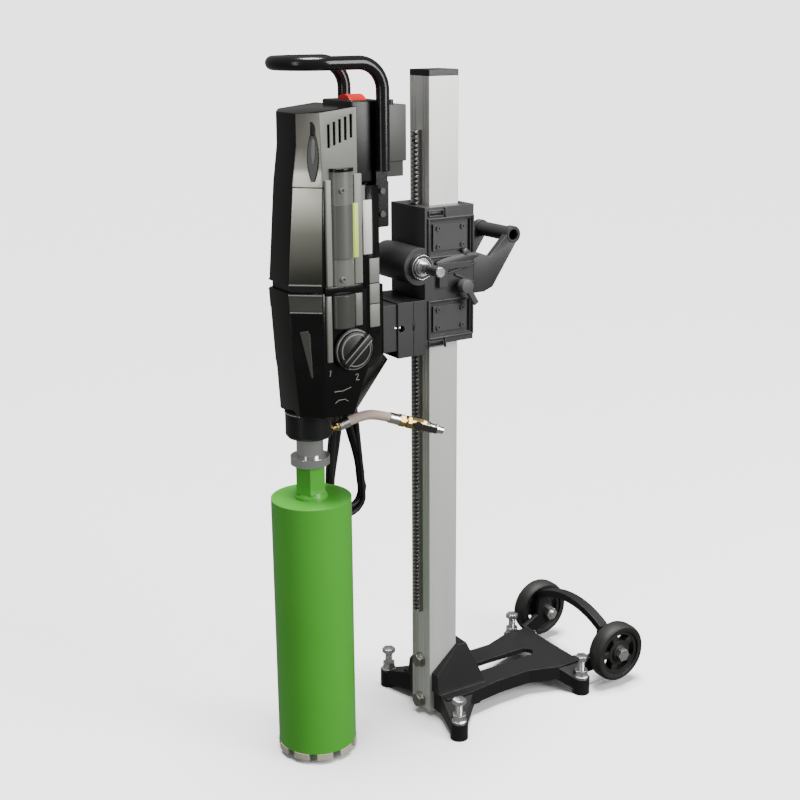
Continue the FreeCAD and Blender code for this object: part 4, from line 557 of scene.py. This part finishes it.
gloss = moulded("gloss_shell", (0.0025, 0.0025, 0.0024, 1), (0.006, 0.006, 0.0058, 1), 0.16,
                specular=0.3)
satin_shell = moulded("satin_shell", (0.006, 0.006, 0.0057, 1), (0.012, 0.012, 0.0115, 1), 0.34)
silver_with_painted_reflection = moulded("silver_with_painted_reflection", (0.5, 0.5, 0.5, 1), (0.5, 0.5, 0.5, 1), 0.30,
                       metallic=0.35)
# The silver panels are light paint, and their colour ramp up the height is a painted reflection of
# a soft light: a bright band high on the panel that fades dark toward the bottom and turns darker
# again near the top.
height = silver_with_painted_reflection.node("SeparateXYZ", {}, {0: silver_with_painted_reflection.place(1, 1, 1)}, 2)
painted_reflection_ramp = silver_with_painted_reflection.node("ValToRGB", {"stops": [
    (0.0, (0.020, 0.020, 0.017, 1)), (0.10, (0.045, 0.045, 0.036, 1)),
    (0.32, (0.16, 0.158, 0.130, 1)), (0.50, (0.46, 0.455, 0.385, 1)),
    (0.64, (0.60, 0.595, 0.515, 1)), (0.67, (0.26, 0.256, 0.218, 1)),
    (1.0, (0.17, 0.168, 0.142, 1))]}, {0: (height - 0.72) * 4.0})
silver_with_painted_reflection.set(Base_Color=painted_reflection_ramp)
vent_grey = moulded("vent_grey", (0.175, 0.177, 0.160, 1), (0.215, 0.217, 0.198, 1), 0.42)
box_grey = moulded("box_grey", (0.062, 0.064, 0.056, 1), (0.080, 0.082, 0.073, 1), 0.42)
pale_grey = moulded("pale_grey", (0.19, 0.193, 0.175, 1), (0.25, 0.253, 0.23, 1), 0.34, 0.0008)
body_grey = moulded("body_grey", (0.13, 0.132, 0.119, 1), (0.17, 0.172, 0.157, 1), 0.26)
lower_grey = moulded("lower_grey", (0.045, 0.046, 0.041, 1), (0.07, 0.071, 0.063, 1), 0.24)

softened("gear_housing_cast", "gear_housing", gloss, "carriage", 0.003)
motor_skin = softened("motor_housing_moulded", "motor_housing", gloss, "carriage",
                      0.003)
cap_skin = softened("motor_cap_moulded", "motor_cap", gloss, "carriage", 0.0014)


def paint_faces(thing, finish, direction, limit, low_z=0.0):
    """Give one finish to the outer faces that look within `limit` of a direction."""
    thing.data.materials.append(finish.material)
    number = len(thing.data.materials) - 1
    for face in thing.data.polygons:
        if face.normal.dot(Vector(direction).normalized()) > limit and face.center.z > low_z:
            face.material_index = number


for side in (-1, 1):
    slanted = (-0.63, side * 0.777, 0.0)
    paint_faces(motor_skin, silver_with_painted_reflection, slanted, 0.985)
    paint_faces(cap_skin, silver_with_painted_reflection, (-0.70, side * 0.70, 0.09), 0.90)
    paint_faces(cap_skin, vent_grey, (0, side, 0), 0.995)

SIDE = 0.058


def at_side(x, side, y, z):
    """A place on the motor from the column's axis, on the near (-1) or far (1) side."""
    return Vector((COLUMN_X + x, side * (SIDE + y), z))


def side_bar(side, x, z, thick, bevel=0.001):
    """A bar on the motor's side between two heights and two places along it."""
    low = at_side(x[0], side, -0.0005, z[0])
    high = at_side(x[1], side, thick, z[1])
    corner = [sorted(pair) for pair in zip(low, high)]
    return box_shape([c[0] for c in corner], [c[1] for c in corner], bevel, 3)


def half_round(side, x, z, radius, rise, steps=24):
    """A shallow half cylinder that stands out of the motor's side."""
    shape = bmesh.new()
    rows = []
    for level in z:
        row = []
        for i in range(steps + 1):
            angle = math.pi * i / steps
            row.append(shape.verts.new(at_side(x - radius * math.cos(angle), side,
                                               rise * math.sin(angle), level)))
        rows.append(row)
    for low, high in zip(rows, rows[1:]):
        for i in range(steps):
            shape.faces.new((low[i], low[i + 1], high[i + 1], high[i]))
        shape.faces.new((low[steps], low[0], high[0], high[steps]))
    shape.faces.new(rows[0])
    shape.faces.new(list(reversed(rows[-1])))
    bmesh.ops.recalc_face_normals(shape, faces=shape.faces)
    return shape


# Raised parts of the shells stand above the seam and below it, with a black groove between.
SHELL_LOW = 0.7285
HOUSING_TOP = 0.7150
ROUND_X = -0.1890
ROUND_RADIUS = 0.0172
ROUND_RISE = 0.0125

ribs = bmesh.new()
lower_ribs = bmesh.new()
rounds = bmesh.new()
lower_rounds = bmesh.new()
arches = bmesh.new()
grooves = bmesh.new()
bosses = bmesh.new()
for side in (-1, 1):
    add(ribs, side_bar(side, (-0.2150, -0.2065), (SHELL_LOW, 0.8720), 0.0042))
    add(ribs, side_bar(side, (-0.1715, -0.1590), (SHELL_LOW, 0.8780), 0.0042))
    add(lower_ribs, side_bar(side, (-0.2165, -0.2085), (0.6220, HOUSING_TOP), 0.0036))
    add(lower_ribs, side_bar(side, (-0.1715, -0.1600), (0.6690, HOUSING_TOP), 0.0036))
    add(rounds, half_round(side, ROUND_X, (SHELL_LOW, 0.8640, 0.8830), ROUND_RADIUS, ROUND_RISE))
    add(lower_rounds, half_round(side, ROUND_X, (0.6690, HOUSING_TOP), ROUND_RADIUS, 0.0115))
    add(arches, half_round(side, ROUND_X, (0.8825, 0.8870), 0.0178, 0.0140))
    add(grooves, side_bar(side, (-0.2175, -0.1580), (0.7152, 0.7280), 0.0022, 0.0004))
    add(grooves, side_bar(side, (-0.2062, -0.1718), (0.8710, 0.8722), 0.0030, 0.0002))
    for x, z, deep in ((-0.1945, 0.858, 0.0118), (-0.1950, 0.738, 0.0118)):
        ring = turned([(0.0021, 0.0), (0.0034, 0.0), (0.0034, 0.0026), (0.0030, 0.0032),
                       (0.0025, 0.0032), (0.0021, 0.0026)], 28)
        ring.transform(Matrix.Translation(at_side(x, side, deep - 0.001, z))
                       @ Matrix.Rotation(-side * math.pi / 2, 4, "X"))
        add(bosses, ring)
new_piece("motor_ribs", ribs, pale_grey, "carriage")
new_piece("housing_ribs", lower_ribs, body_grey, "carriage")
new_piece("motor_rounds", rounds, body_grey, "carriage", 30)
new_piece("housing_rounds", lower_rounds, lower_grey, "carriage", 30)
new_piece("round_arches", arches, gloss, "carriage", 30)
new_piece("motor_grooves", grooves, gloss, "carriage")
new_piece("case_screw_bosses", bosses, vent_grey, "carriage")

lime = moulded("lime_label", (0.62, 0.78, 0.13, 1), (0.66, 0.80, 0.18, 1), 0.4)
label_grey = moulded("label_grey", (0.085, 0.087, 0.078, 1), (0.10, 0.102, 0.092, 1), 0.35)
LABEL_LOW = 0.7650
LABEL_HIGH = 0.8390
label_white = moulded("label_white", (0.66, 0.66, 0.63, 1), (0.74, 0.74, 0.71, 1), 0.45)


def curved_label(name, finish, start, end, low_z, high_z, steps=10):
    """A thin label wrapped on the near half cylinder between two places along it."""
    shape = bmesh.new()
    outline = []
    for i in range(steps + 1):
        x = start + (end - start) * i / steps
        share = min(1.0, abs(x - ROUND_X) / ROUND_RADIUS)
        outline.append((x, ROUND_RISE * math.sqrt(1 - share ** 2)))
    faces = []
    for extra in (0.0004, -0.0004):
        rows = [[shape.verts.new(at_side(x, -1, y + extra, z)) for x, y in outline]
                for z in (low_z, high_z)]
        faces.append(rows)
        for i in range(steps):
            shape.faces.new((rows[0][i], rows[0][i + 1], rows[1][i + 1], rows[1][i]))
    (outer_low, outer_high), (inner_low, inner_high) = faces
    for outer, inner in ((outer_low, inner_low), (outer_high, inner_high)):
        for i in range(steps):
            shape.faces.new((outer[i], outer[i + 1], inner[i + 1], inner[i]))
    for i in (0, -1):
        shape.faces.new((outer_low[i], outer_high[i], inner_high[i], inner_low[i]))
    bmesh.ops.recalc_face_normals(shape, faces=shape.faces)
    new_piece(name, shape, finish, "carriage", 30)


curved_label("name_label", label_grey, -0.2050, -0.1765, LABEL_LOW, LABEL_HIGH)
curved_label("lime_label", lime, -0.1764, -0.1724, LABEL_LOW, LABEL_HIGH)
lime_strip = side_bar(-1, (-0.1722, -0.1655), (LABEL_LOW, LABEL_HIGH), 0.0046, 0.0002)
new_piece("lime_strip", lime_strip, lime, "carriage")

rear_cover = bmesh.new()
rear_strips = bmesh.new()
for side in (-1, 1):
    add(rear_cover, side_bar(side, (-0.1570, -0.1295), (0.6500, 0.8600), -0.0010))
    for low_z, high_z in ((0.6630, 0.6955), (0.6965, 0.7245), (0.7255, 0.7600)):
        add(rear_strips, side_bar(side, (-0.1465, -0.1305), (low_z, high_z), 0.0006, 0.0004))
new_piece("rear_cover", rear_cover, gloss, "carriage")
new_piece("rear_strips", rear_strips, vent_grey, "carriage")
plain_label = side_bar(-1, (-0.1555, -0.1415), (0.7665, 0.8410), 0.0002, 0.0002)
new_piece("plain_label", plain_label, label_white, "carriage")

# The slanted panels carry two bright trim lines, a leaf shaped screw recess and, on the gear
# housing, a long notch that narrows downward.


PANEL_LOW = 0.729
PANEL_TALL = 0.133
LOWER_PANEL_TOP = 0.719
LOWER_PANEL_TALL = 0.102
PANEL_REAR_X = -0.221
PANEL_FRONT_Y = 0.028
SLANT_X, SLANT_Y = 0.63, 0.777


def on_slant(side, along, out, z):
    """A place on the slanted panel: along runs 0 at the front edge to 1 at the side."""
    high = (z - PANEL_LOW) / PANEL_TALL
    front = -0.258 + 0.011 * min(max(high, 0.0), 1.7)
    rear = PANEL_REAR_X + 0.003 * min(max(high, 0.0), 1.0)
    if z < LOWER_PANEL_TOP:
        front = -0.2585 + 0.006 * (LOWER_PANEL_TOP - z) / LOWER_PANEL_TALL
        rear = PANEL_REAR_X
    x = front + (rear - front) * along
    y = PANEL_FRONT_Y + (SIDE - PANEL_FRONT_Y) * along
    return Vector((COLUMN_X + x - SLANT_X * out, side * (y + SLANT_Y * out), z))


def slant_plate(side, outline, low, high):
    """A thin plate on the slanted panel from an outline of (along, height) pairs."""
    shape = bmesh.new()
    inner = [shape.verts.new(on_slant(side, along, low, z)) for along, z in outline]
    outer = [shape.verts.new(on_slant(side, along, high, z)) for along, z in outline]
    shape.faces.new(inner)
    shape.faces.new(outer)
    for i in range(len(outline)):
        k = (i + 1) % len(outline)
        shape.faces.new((inner[i], inner[k], outer[k], outer[i]))
    bmesh.ops.recalc_face_normals(shape, faces=shape.faces)
    return shape


def leaf_outline(centre, half, low_z, high_z, steps=14):
    """A leaf shape, widest near its top."""
    left, right = [], []
    for i in range(steps + 1):
        share = i / steps
        width = half * math.sin(math.pi * min(1.0, 0.06 + share * 0.80)) ** 0.75
        height = low_z + (high_z - low_z) * share
        left.append((centre - width, height))
        right.append((centre + width, height))
    return right + list(reversed(left))


def strip_outline(low_z, high_z):
    """A strip right across the panel, just short of both its edges."""
    return [(0.02, low_z), (0.98, low_z), (0.98, high_z), (0.02, high_z)]


TRIM_HALF = 0.0008
PLATE_SINK = 0.0008
LEAF_SINK = 0.0012

trims = bmesh.new()
leaves = bmesh.new()
cores = bmesh.new()
notches = bmesh.new()
bands = bmesh.new()
for side in (-1, 1):
    for z in (0.7305, 0.7165, 0.6925):
        add(trims, slant_plate(side, strip_outline(z - TRIM_HALF, z + TRIM_HALF),
                               -PLATE_SINK, 0.0016))
    add(bands, slant_plate(side, strip_outline(0.6937, 0.7152), -PLATE_SINK, 0.0011))
    add(leaves, slant_plate(side, leaf_outline(0.70, 0.21, 0.870, 0.930), -LEAF_SINK, 0.0016))
    add(leaves, slant_plate(side, [(0.60, 0.925), (0.80, 0.925), (0.80, 0.948), (0.60, 0.948)],
                            -LEAF_SINK, 0.0010))
    add(cores, slant_plate(side, leaf_outline(0.71, 0.085, 0.892, 0.926), 0.0004, 0.0026))
    add(notches, slant_plate(side, [(0.56, 0.600), (0.62, 0.600), (0.58, 0.662),
                                    (0.52, 0.667), (0.27, 0.665)], -PLATE_SINK, 0.0010))
new_piece("panel_trims", trims, pale_grey, "carriage")
new_piece("panel_bands", bands, lower_grey, "carriage")
new_piece("screw_leaves", leaves, gloss, "carriage")
new_piece("leaf_cores", cores, body_grey, "carriage")
new_piece("housing_notches", notches, lower_grey, "carriage")


def stroke(shape, start, end, width=0.0012):
    """One straight stroke of a numeral, cast in relief on the near side."""
    (x0, z0), (x1, z1) = start, end
    length = math.hypot(x1 - x0, z1 - z0)
    bar = box_shape((-length / 2, -0.0004, -width / 2), (length / 2, 0.0004, width / 2))
    bar.transform(Matrix.Translation(at_side((x0 + x1) / 2, -1, 0.0, (z0 + z1) / 2))
                  @ Matrix.Rotation(-math.atan2(z1 - z0, x1 - x0), 4, "Y"))
    add(shape, bar)


numerals = bmesh.new()
for start, end in (((-0.2125, 0.6015), (-0.2105, 0.6105)), ((-0.2105, 0.6105), (-0.2130, 0.6085)),
                   ((-0.1715, 0.5975), (-0.1695, 0.5995)), ((-0.1695, 0.5995), (-0.1665, 0.5980)),
                   ((-0.1665, 0.5980), (-0.1710, 0.5905)), ((-0.1710, 0.5905), (-0.1655, 0.5905))):
    stroke(numerals, start, end)
for start, end in (((-0.2060, 0.5785), (-0.1930, 0.5780)), ((-0.1930, 0.5780), (-0.1790, 0.5815)),
                   ((-0.2050, 0.5620), (-0.1990, 0.5655)), ((-0.1990, 0.5655), (-0.1890, 0.5655)),
                   ((-0.1890, 0.5655), (-0.1840, 0.5620))):
    stroke(numerals, start, end, 0.0010)
new_piece("dial_numerals", numerals, pale_grey, "carriage")

# ---- Spindle and core bit -----------------------------------------------------------------
# Polished steel spindle with its flange, and a drawn steel tube with a turned hub, powder
# coated green, with ten sintered segments laser welded to its rim.

polished = Finish("polished_steel", Metallic=0.85)
polished_round, polished_edge = polished.edges(0.001)
turning = polished.noise(1, 2, (30, 30, 1500))
polished.set(Base_Color=polished.mix((0.55, 0.55, 0.55, 1), (0.80, 0.80, 0.79, 1),
                                     polished_edge),
             Roughness=0.07 + turning * 0.10)
polished.relief(turning, 0.00003, polished_round, 0.4)
wear("spindle", polished)
wear("nose_collar", cap_plastic)
nose = middle("nose_collar")
# A thin polished ring at the collar's top edge is a painted highlight: it stands in for the band
# of light along the gloss collar's rim.
highlight_ring = turned([(0.0335, 0.0), (0.0350, 0.0), (0.0354, 0.0006), (0.0350, 0.0012),
               (0.0335, 0.0012)], 72)
highlight_ring.transform(Matrix.Translation((nose.x, nose.y, 0.5385)))
new_piece("nose_highlight_ring", highlight_ring, polished, "carriage")

green = Finish("green_powder_coat", Coat_Weight=0.35, Coat_Roughness=0.15,
               Specular_IOR_Level=0.3)
green_round, _ = green.edges(0.0015)
shade = green.noise(7, 4)
scuff = green.noise(1, 3, (9, 9, 140)) > 0.68
green.set(Base_Color=green.mix(green.mix((0.055, 0.31, 0.022, 1), (0.070, 0.37, 0.032, 1),
                                         shade), (0.10, 0.38, 0.05, 1), scuff * 0.12),
          Roughness=0.30 + shade * 0.12 + scuff * 0.05)
green.relief(green.noise(420, 3), 0.00012, green_round, 0.5)
wear("core_barrel", green)

grit = Finish("diamond_segment", Metallic=0.35)
grit_round, _ = grit.edges(0.0008)
specks = grit.node("TexVoronoi", {}, {"Vector": grit.place(1, 1, 1), "Scale": 1400}, "Distance")
grit.set(Base_Color=grit.mix((0.30, 0.25, 0.19, 1), (0.55, 0.50, 0.42, 1), specks * 1.6),
         Roughness=0.55 + specks * 0.3)
grit.relief(specks, 0.0003, grit_round, 0.9)
wear("barrel_segments", grit)

# ---- Handle -------------------------------------------------------------------------------
# One length of steel tube bent round a former, flattened at both ends, coated gloss black
# and screwed to a bracket behind the motor.

tube_coat = coated("tube_coat", 0.006, 0.17, 500)
wear("tube_handle", tube_coat)
wear("handle_bracket", cap_plastic)
wear("handle_screws", screw_black)

# ---- Selector, switch and electronics -----------------------------------------------------
# A moulded selector with a grip bar, a red rocker in the switch box, and a box of
# electronics behind it with a reset button.

softened("gear_selector_moulded", "gear_selector", satin_shell, "selector", 0.0018)
selector = middle("gear_selector")
dial = turned([(0.0265, 0.0), (0.0285, 0.0), (0.0285, 0.0016), (0.0275, 0.0022),
               (0.0265, 0.0016)], 64)
add(dial, turned([(0.0215, 0.005), (0.0232, 0.005), (0.0232, 0.0064), (0.0224, 0.0068),
                  (0.0215, 0.0064)], 64))
for edge_x in (-0.0042, 0.0042):
    bar = box_shape((edge_x - 0.0007, -0.025, 0.0125), (edge_x + 0.0007, 0.025, 0.0137), 0.0003)
    bar.transform(Matrix.Rotation(math.radians(-48), 4, "Z"))
    add(dial, bar)
dial.transform(Matrix.Translation((selector.x, -SIDE - 0.0052, 0.636))
               @ Matrix.Rotation(math.pi / 2, 4, "X"))
bmesh.ops.recalc_face_normals(dial, faces=dial.faces)
new_piece("selector_rings", dial, vent_grey, "selector")
softened("switch_box_moulded", "switch_housing", satin_shell, "carriage", 0.0025)
softened("electronics_box_moulded", "electronics_box", box_grey, "carriage",
         0.0025)
wear("reset_button", cap_plastic)
red = moulded("red_rocker", (0.50, 0.012, 0.010, 1), (0.60, 0.02, 0.015, 1), 0.2)
wear("switch_rocker", red)

# ---- Water line ---------------------------------------------------------------------------
# A brass valve and nipple with a nickel plated connector and ferrules.  The hose is rubber
# under a braided sleeve, crimped in a ferrule at each end.

def plated(name, dark, light, rough):
    """Plated or bare turned metal."""
    finish = Finish(name, Metallic=1.0)
    rounded, _ = finish.edges(0.0006)
    stain = finish.noise(150, 4)
    finish.set(Base_Color=finish.mix(dark, light, stain), Roughness=rough + stain * 0.14)
    finish.relief(finish.noise(1200, 2), 0.00004, rounded, 0.4)
    return finish


nickel = plated("nickel_plate", (0.58, 0.56, 0.52, 1), (0.78, 0.76, 0.71, 1), 0.14)
brass = plated("brass", (0.44, 0.29, 0.10, 1), (0.66, 0.48, 0.20, 1), 0.24)
for node in ("hose_connector", "hose_ferrules"):
    wear(node, nickel)
for node in ("ball_valve", "inlet_nipple", "guide_pads", "brush_gear"):
    wear(node, brass)
wear("valve_lever", soft_black)

braid = Finish("hose_braid")
weave = braid.node("TexWave", {"bands_direction": "DIAGONAL"},
                   {"Vector": braid.place(1, 1, 1), "Scale": 180, "Distortion": 1.5}, "Fac")
cross = braid.node("TexWave", {"bands_direction": "DIAGONAL"},
                   {"Vector": braid.place(-1, 1, 1), "Scale": 180, "Distortion": 1.5}, "Fac")
braid.set(Base_Color=braid.mix((0.34, 0.25, 0.21, 1), (0.66, 0.55, 0.48, 1), weave * cross * 1.6),
          Roughness=0.7)
braid.relief(weave * cross, 0.0006)


def route_curve(name, points, radius, finish):
    """A cord's own line: a smooth spline through its control points."""
    curve = bpy.data.curves.new(name, "CURVE")
    curve.dimensions = "3D"
    spline = curve.splines.new("NURBS")
    spline.points.add(len(points) - 1)
    for point, place in zip(spline.points, points):
        point.co = (*place, 1)
    spline.order_u = 3
    spline.use_endpoint_u = True
    curve.resolution_u = 10
    curve.bevel_depth = radius
    curve.bevel_resolution = 6
    curve.use_fill_caps = True
    curve.materials.append(finish.material)
    thing = bpy.data.objects.new(name, curve)
    bpy.context.scene.collection.objects.link(thing)
    return thing


HOSE_ROUTE = [(-0.164, -0.022, 0.5195), (-0.144, -0.024, 0.525), (-0.122, -0.028, 0.525),
              (-0.101, -0.033, 0.5175)]
hose_points = [(x + COLUMN_X, y, z) for x, y, z in HOSE_ROUTE]
hose = route_curve("braided_hose", hose_points, 0.00725, braid)
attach(hose, "carriage")
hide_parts("water_hose")

# ---- Mains lead ---------------------------------------------------------------------------
# Three metres of black rubber sheathed lead.  It leaves the electronics box through a tapered
# gland, hangs behind the motor and is folded in a hank with its plug on the outside.

sheath = Finish("rubber_sheath", Specular_IOR_Level=0.35)
scuffs = sheath.noise(90, 4)
sheath.set(Base_Color=sheath.mix((0.005, 0.005, 0.005, 1), (0.016, 0.016, 0.016, 1),
                                 scuffs * 0.6),
           Roughness=0.42 + scuffs * 0.18)
sheath.relief(sheath.noise(900, 2), 0.0001)
wear("cord_gland", sheath)
wear("mains_plug", sheath)
LEAD_ROUTE = [(-0.080, 0.014, 0.838), (-0.080, 0.014, 0.820), (-0.083, 0.020, 0.800),
              (-0.092, 0.035, 0.774), (-0.103, 0.054, 0.740), (-0.111, 0.070, 0.708),
              (-0.113, 0.076, 0.680), (-0.113, 0.076, 0.662)]
hank_low, hank_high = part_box("cord_hank")
lead_points = [(x + COLUMN_X, y, z) for x, y, z in LEAD_ROUTE[:-1]]
LEAD_RADIUS = 0.00425
TURNS = 4
TURN_PITCH = 0.0055
FOLD_STEPS = 6
RUN_STEPS = 13
EDGE_INSET = 0.0045
STAGGER = 0.0035
FIRST_LAYER = 0.0048
TIED_LEFT = 0.0165
TIED_RIGHT = 0.0005
TIED_STEP = 0.0070
STRAP_SHARE = 0.63
PULL_START = 0.08
PULL_END = 0.98
UP_RUN_LEAN = 0.002


def gathered(edge, tied, inner, share):
    """Where a run of the hank stands across: at its edge, and drawn in at the strap."""
    if share < STRAP_SHARE:
        pull = (share - PULL_START) / (STRAP_SHARE - PULL_START)
    else:
        pull = (PULL_END - share) / (PULL_END - STRAP_SHARE)
    pull = min(max(pull, 0.0), 1.0)
    pull = (pull * pull * (3 - 2 * pull)) ** (0.6 if inner else 1.0)
    return edge + pull * (tied + TIED_STEP * inner - edge)


for turn in range(TURNS):
    y = hank_low[1] + FIRST_LAYER + turn * TURN_PITCH
    left = hank_low[0] + EDGE_INSET + STAGGER * (turn % 2)
    right = hank_high[0] - EDGE_INSET - STAGGER * ((turn + 1) % 2)
    centre = (left + right) / 2
    half = (right - left) / 2
    top = hank_high[2] - 0.010 - half - 0.004 * turn
    bottom = hank_low[2] + 0.006 + half + 0.005 * ((turn * 2) % 3)
    fold = [(half * math.cos(math.pi * step / FOLD_STEPS),
             half * math.sin(math.pi * step / FOLD_STEPS)) for step in range(FOLD_STEPS + 1)]
    lead_points += [(centre + across, y, bottom - away) for across, away in fold]
    for step in range(1, RUN_STEPS):
        share = step / RUN_STEPS
        lead_points.append((gathered(left, centre - TIED_LEFT, turn % 2, share),
                            y + UP_RUN_LEAN * share, bottom + (top - bottom) * share))
    lead_points += [(centre - across, y + UP_RUN_LEAN, top + away) for across, away in fold]
    for step in range(1, RUN_STEPS if turn < TURNS - 1 else 1):
        share = 1 - step / RUN_STEPS
        lead_points.append((gathered(right, centre + TIED_RIGHT, turn % 2, share),
                            y + TURN_PITCH - (TURN_PITCH - UP_RUN_LEAN) * share,
                            bottom + (top - bottom) * share))
lead = route_curve("mains_lead", lead_points, LEAD_RADIUS, sheath)
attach(lead, "carriage")
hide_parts("mains_cord", "cord_hank")

# A moulded rubber strap holds the hank where its runs are gathered.

strap = bmesh.new()
strap_x = (hank_low[0] + hank_high[0]) / 2 - 0.0045
strap_y = hank_low[1] + FIRST_LAYER + TURN_PITCH * (TURNS - 1) / 2 + UP_RUN_LEAN
strap_z = hank_low[2] + 0.2030
STRAP_STEPS = 40
STRAP_HALF = 0.005
STRAP_THICK = 0.0016
loops = []
for grow, z in ((0.0, -STRAP_HALF), (STRAP_THICK, -STRAP_HALF), (STRAP_THICK, STRAP_HALF),
                (0.0, STRAP_HALF)):
    loop = []
    for step in range(STRAP_STEPS):
        angle = 2 * math.pi * step / STRAP_STEPS
        across, deep = math.cos(angle), math.sin(angle)
        loop.append(strap.verts.new((
            strap_x + math.copysign(abs(across) ** 0.5, across) * (0.0165 + grow),
            strap_y + math.copysign(abs(deep) ** 0.5, deep) * (0.0112 + grow),
            strap_z + z)))
    loops.append(loop)
for loop, following in zip(loops, loops[1:] + loops[:1]):
    for k in range(STRAP_STEPS):
        n = (k + 1) % STRAP_STEPS
        strap.faces.new((loop[k], loop[n], following[n], following[k]))
bmesh.ops.recalc_face_normals(strap, faces=strap.faces)
new_piece("hank_strap", strap, soft_black, "carriage")

# ---- Stage, light and camera --------------------------------------------------------------
# A plain pale floor, a large soft light to the right, a narrow one to the left, soft light
# from overhead, and the camera.

floor_shape = bmesh.new()
bmesh.ops.create_grid(floor_shape, x_segments=1, y_segments=1, size=40)
floor_mesh = bpy.data.meshes.new("floor")
floor_shape.to_mesh(floor_mesh)
floor_shape.free()
floor = bpy.data.objects.new("floor", floor_mesh)
bpy.context.scene.collection.objects.link(floor)
paper = Finish("pale_floor", Base_Color=(0.90, 0.90, 0.90, 1), Roughness=1.0,
               Specular_IOR_Level=0.0)
floor_mesh.materials.append(paper.material)
floor.visible_diffuse = False
floor.visible_glossy = False

world = bpy.data.worlds.new("studio")
bpy.context.scene.world = world
world.use_nodes = True
sky = world.node_tree
seen = sky.nodes["Background"]
seen.inputs["Color"].default_value = (1, 1, 1, 1)
seen.inputs["Strength"].default_value = 2.75
glow = sky.nodes.new("ShaderNodeBackground")
glow.inputs["Color"].default_value = (1, 1, 0.97, 1)
glow.inputs["Strength"].default_value = 0.22
rays = sky.nodes.new("ShaderNodeLightPath")
either = sky.nodes.new("ShaderNodeMixShader")
sky.links.new(rays.outputs["Is Camera Ray"], either.inputs[0])
sky.links.new(glow.outputs[0], either.inputs[1])
sky.links.new(seen.outputs[0], either.inputs[2])
sky.links.new(either.outputs[0], sky.nodes["World Output"].inputs["Surface"])


def soft_light(name, place, target, size, power):
    """A large soft area light that faces a point."""
    light = bpy.data.lights.new(name, "AREA")
    light.shape = "RECTANGLE"
    light.size, light.size_y = size
    light.energy = power
    thing = bpy.data.objects.new(name, light)
    thing.location = place
    thing.rotation_euler = (Vector(target) - Vector(place)).to_track_quat("-Z", "Y").to_euler()
    bpy.context.scene.collection.objects.link(thing)


soft_light("key_right", (1.3, -2.7, 1.7), (0, 0, 0.5), (1.5, 2.2), 150)
soft_light("strip_left", (-2.4, -0.9, 1.1), (-0.2, 0, 0.6), (0.45, 2.2), 15)
overhead = bpy.data.lights.new("overhead", "SUN")
overhead.energy = 9
overhead.angle = math.radians(28)
bpy.context.scene.collection.objects.link(bpy.data.objects.new("overhead", overhead))

camera_data = bpy.data.cameras.new("camera")
camera_data.lens = 59.04
camera_data.sensor_width = 36
camera = bpy.data.objects.new("camera", camera_data)
yaw, pitch, roll = (math.radians(angle) for angle in (32.35, 16.19, -0.43))
camera.matrix_world = (Matrix.Translation((-1.10480, -1.59229, 1.07686))
                       @ Matrix.Rotation(-yaw, 4, "Z")
                       @ Matrix.Rotation(math.pi / 2 - pitch, 4, "X")
                       @ Matrix.Rotation(roll, 4, "Z"))
bpy.context.scene.collection.objects.link(camera)
bpy.context.scene.camera = camera
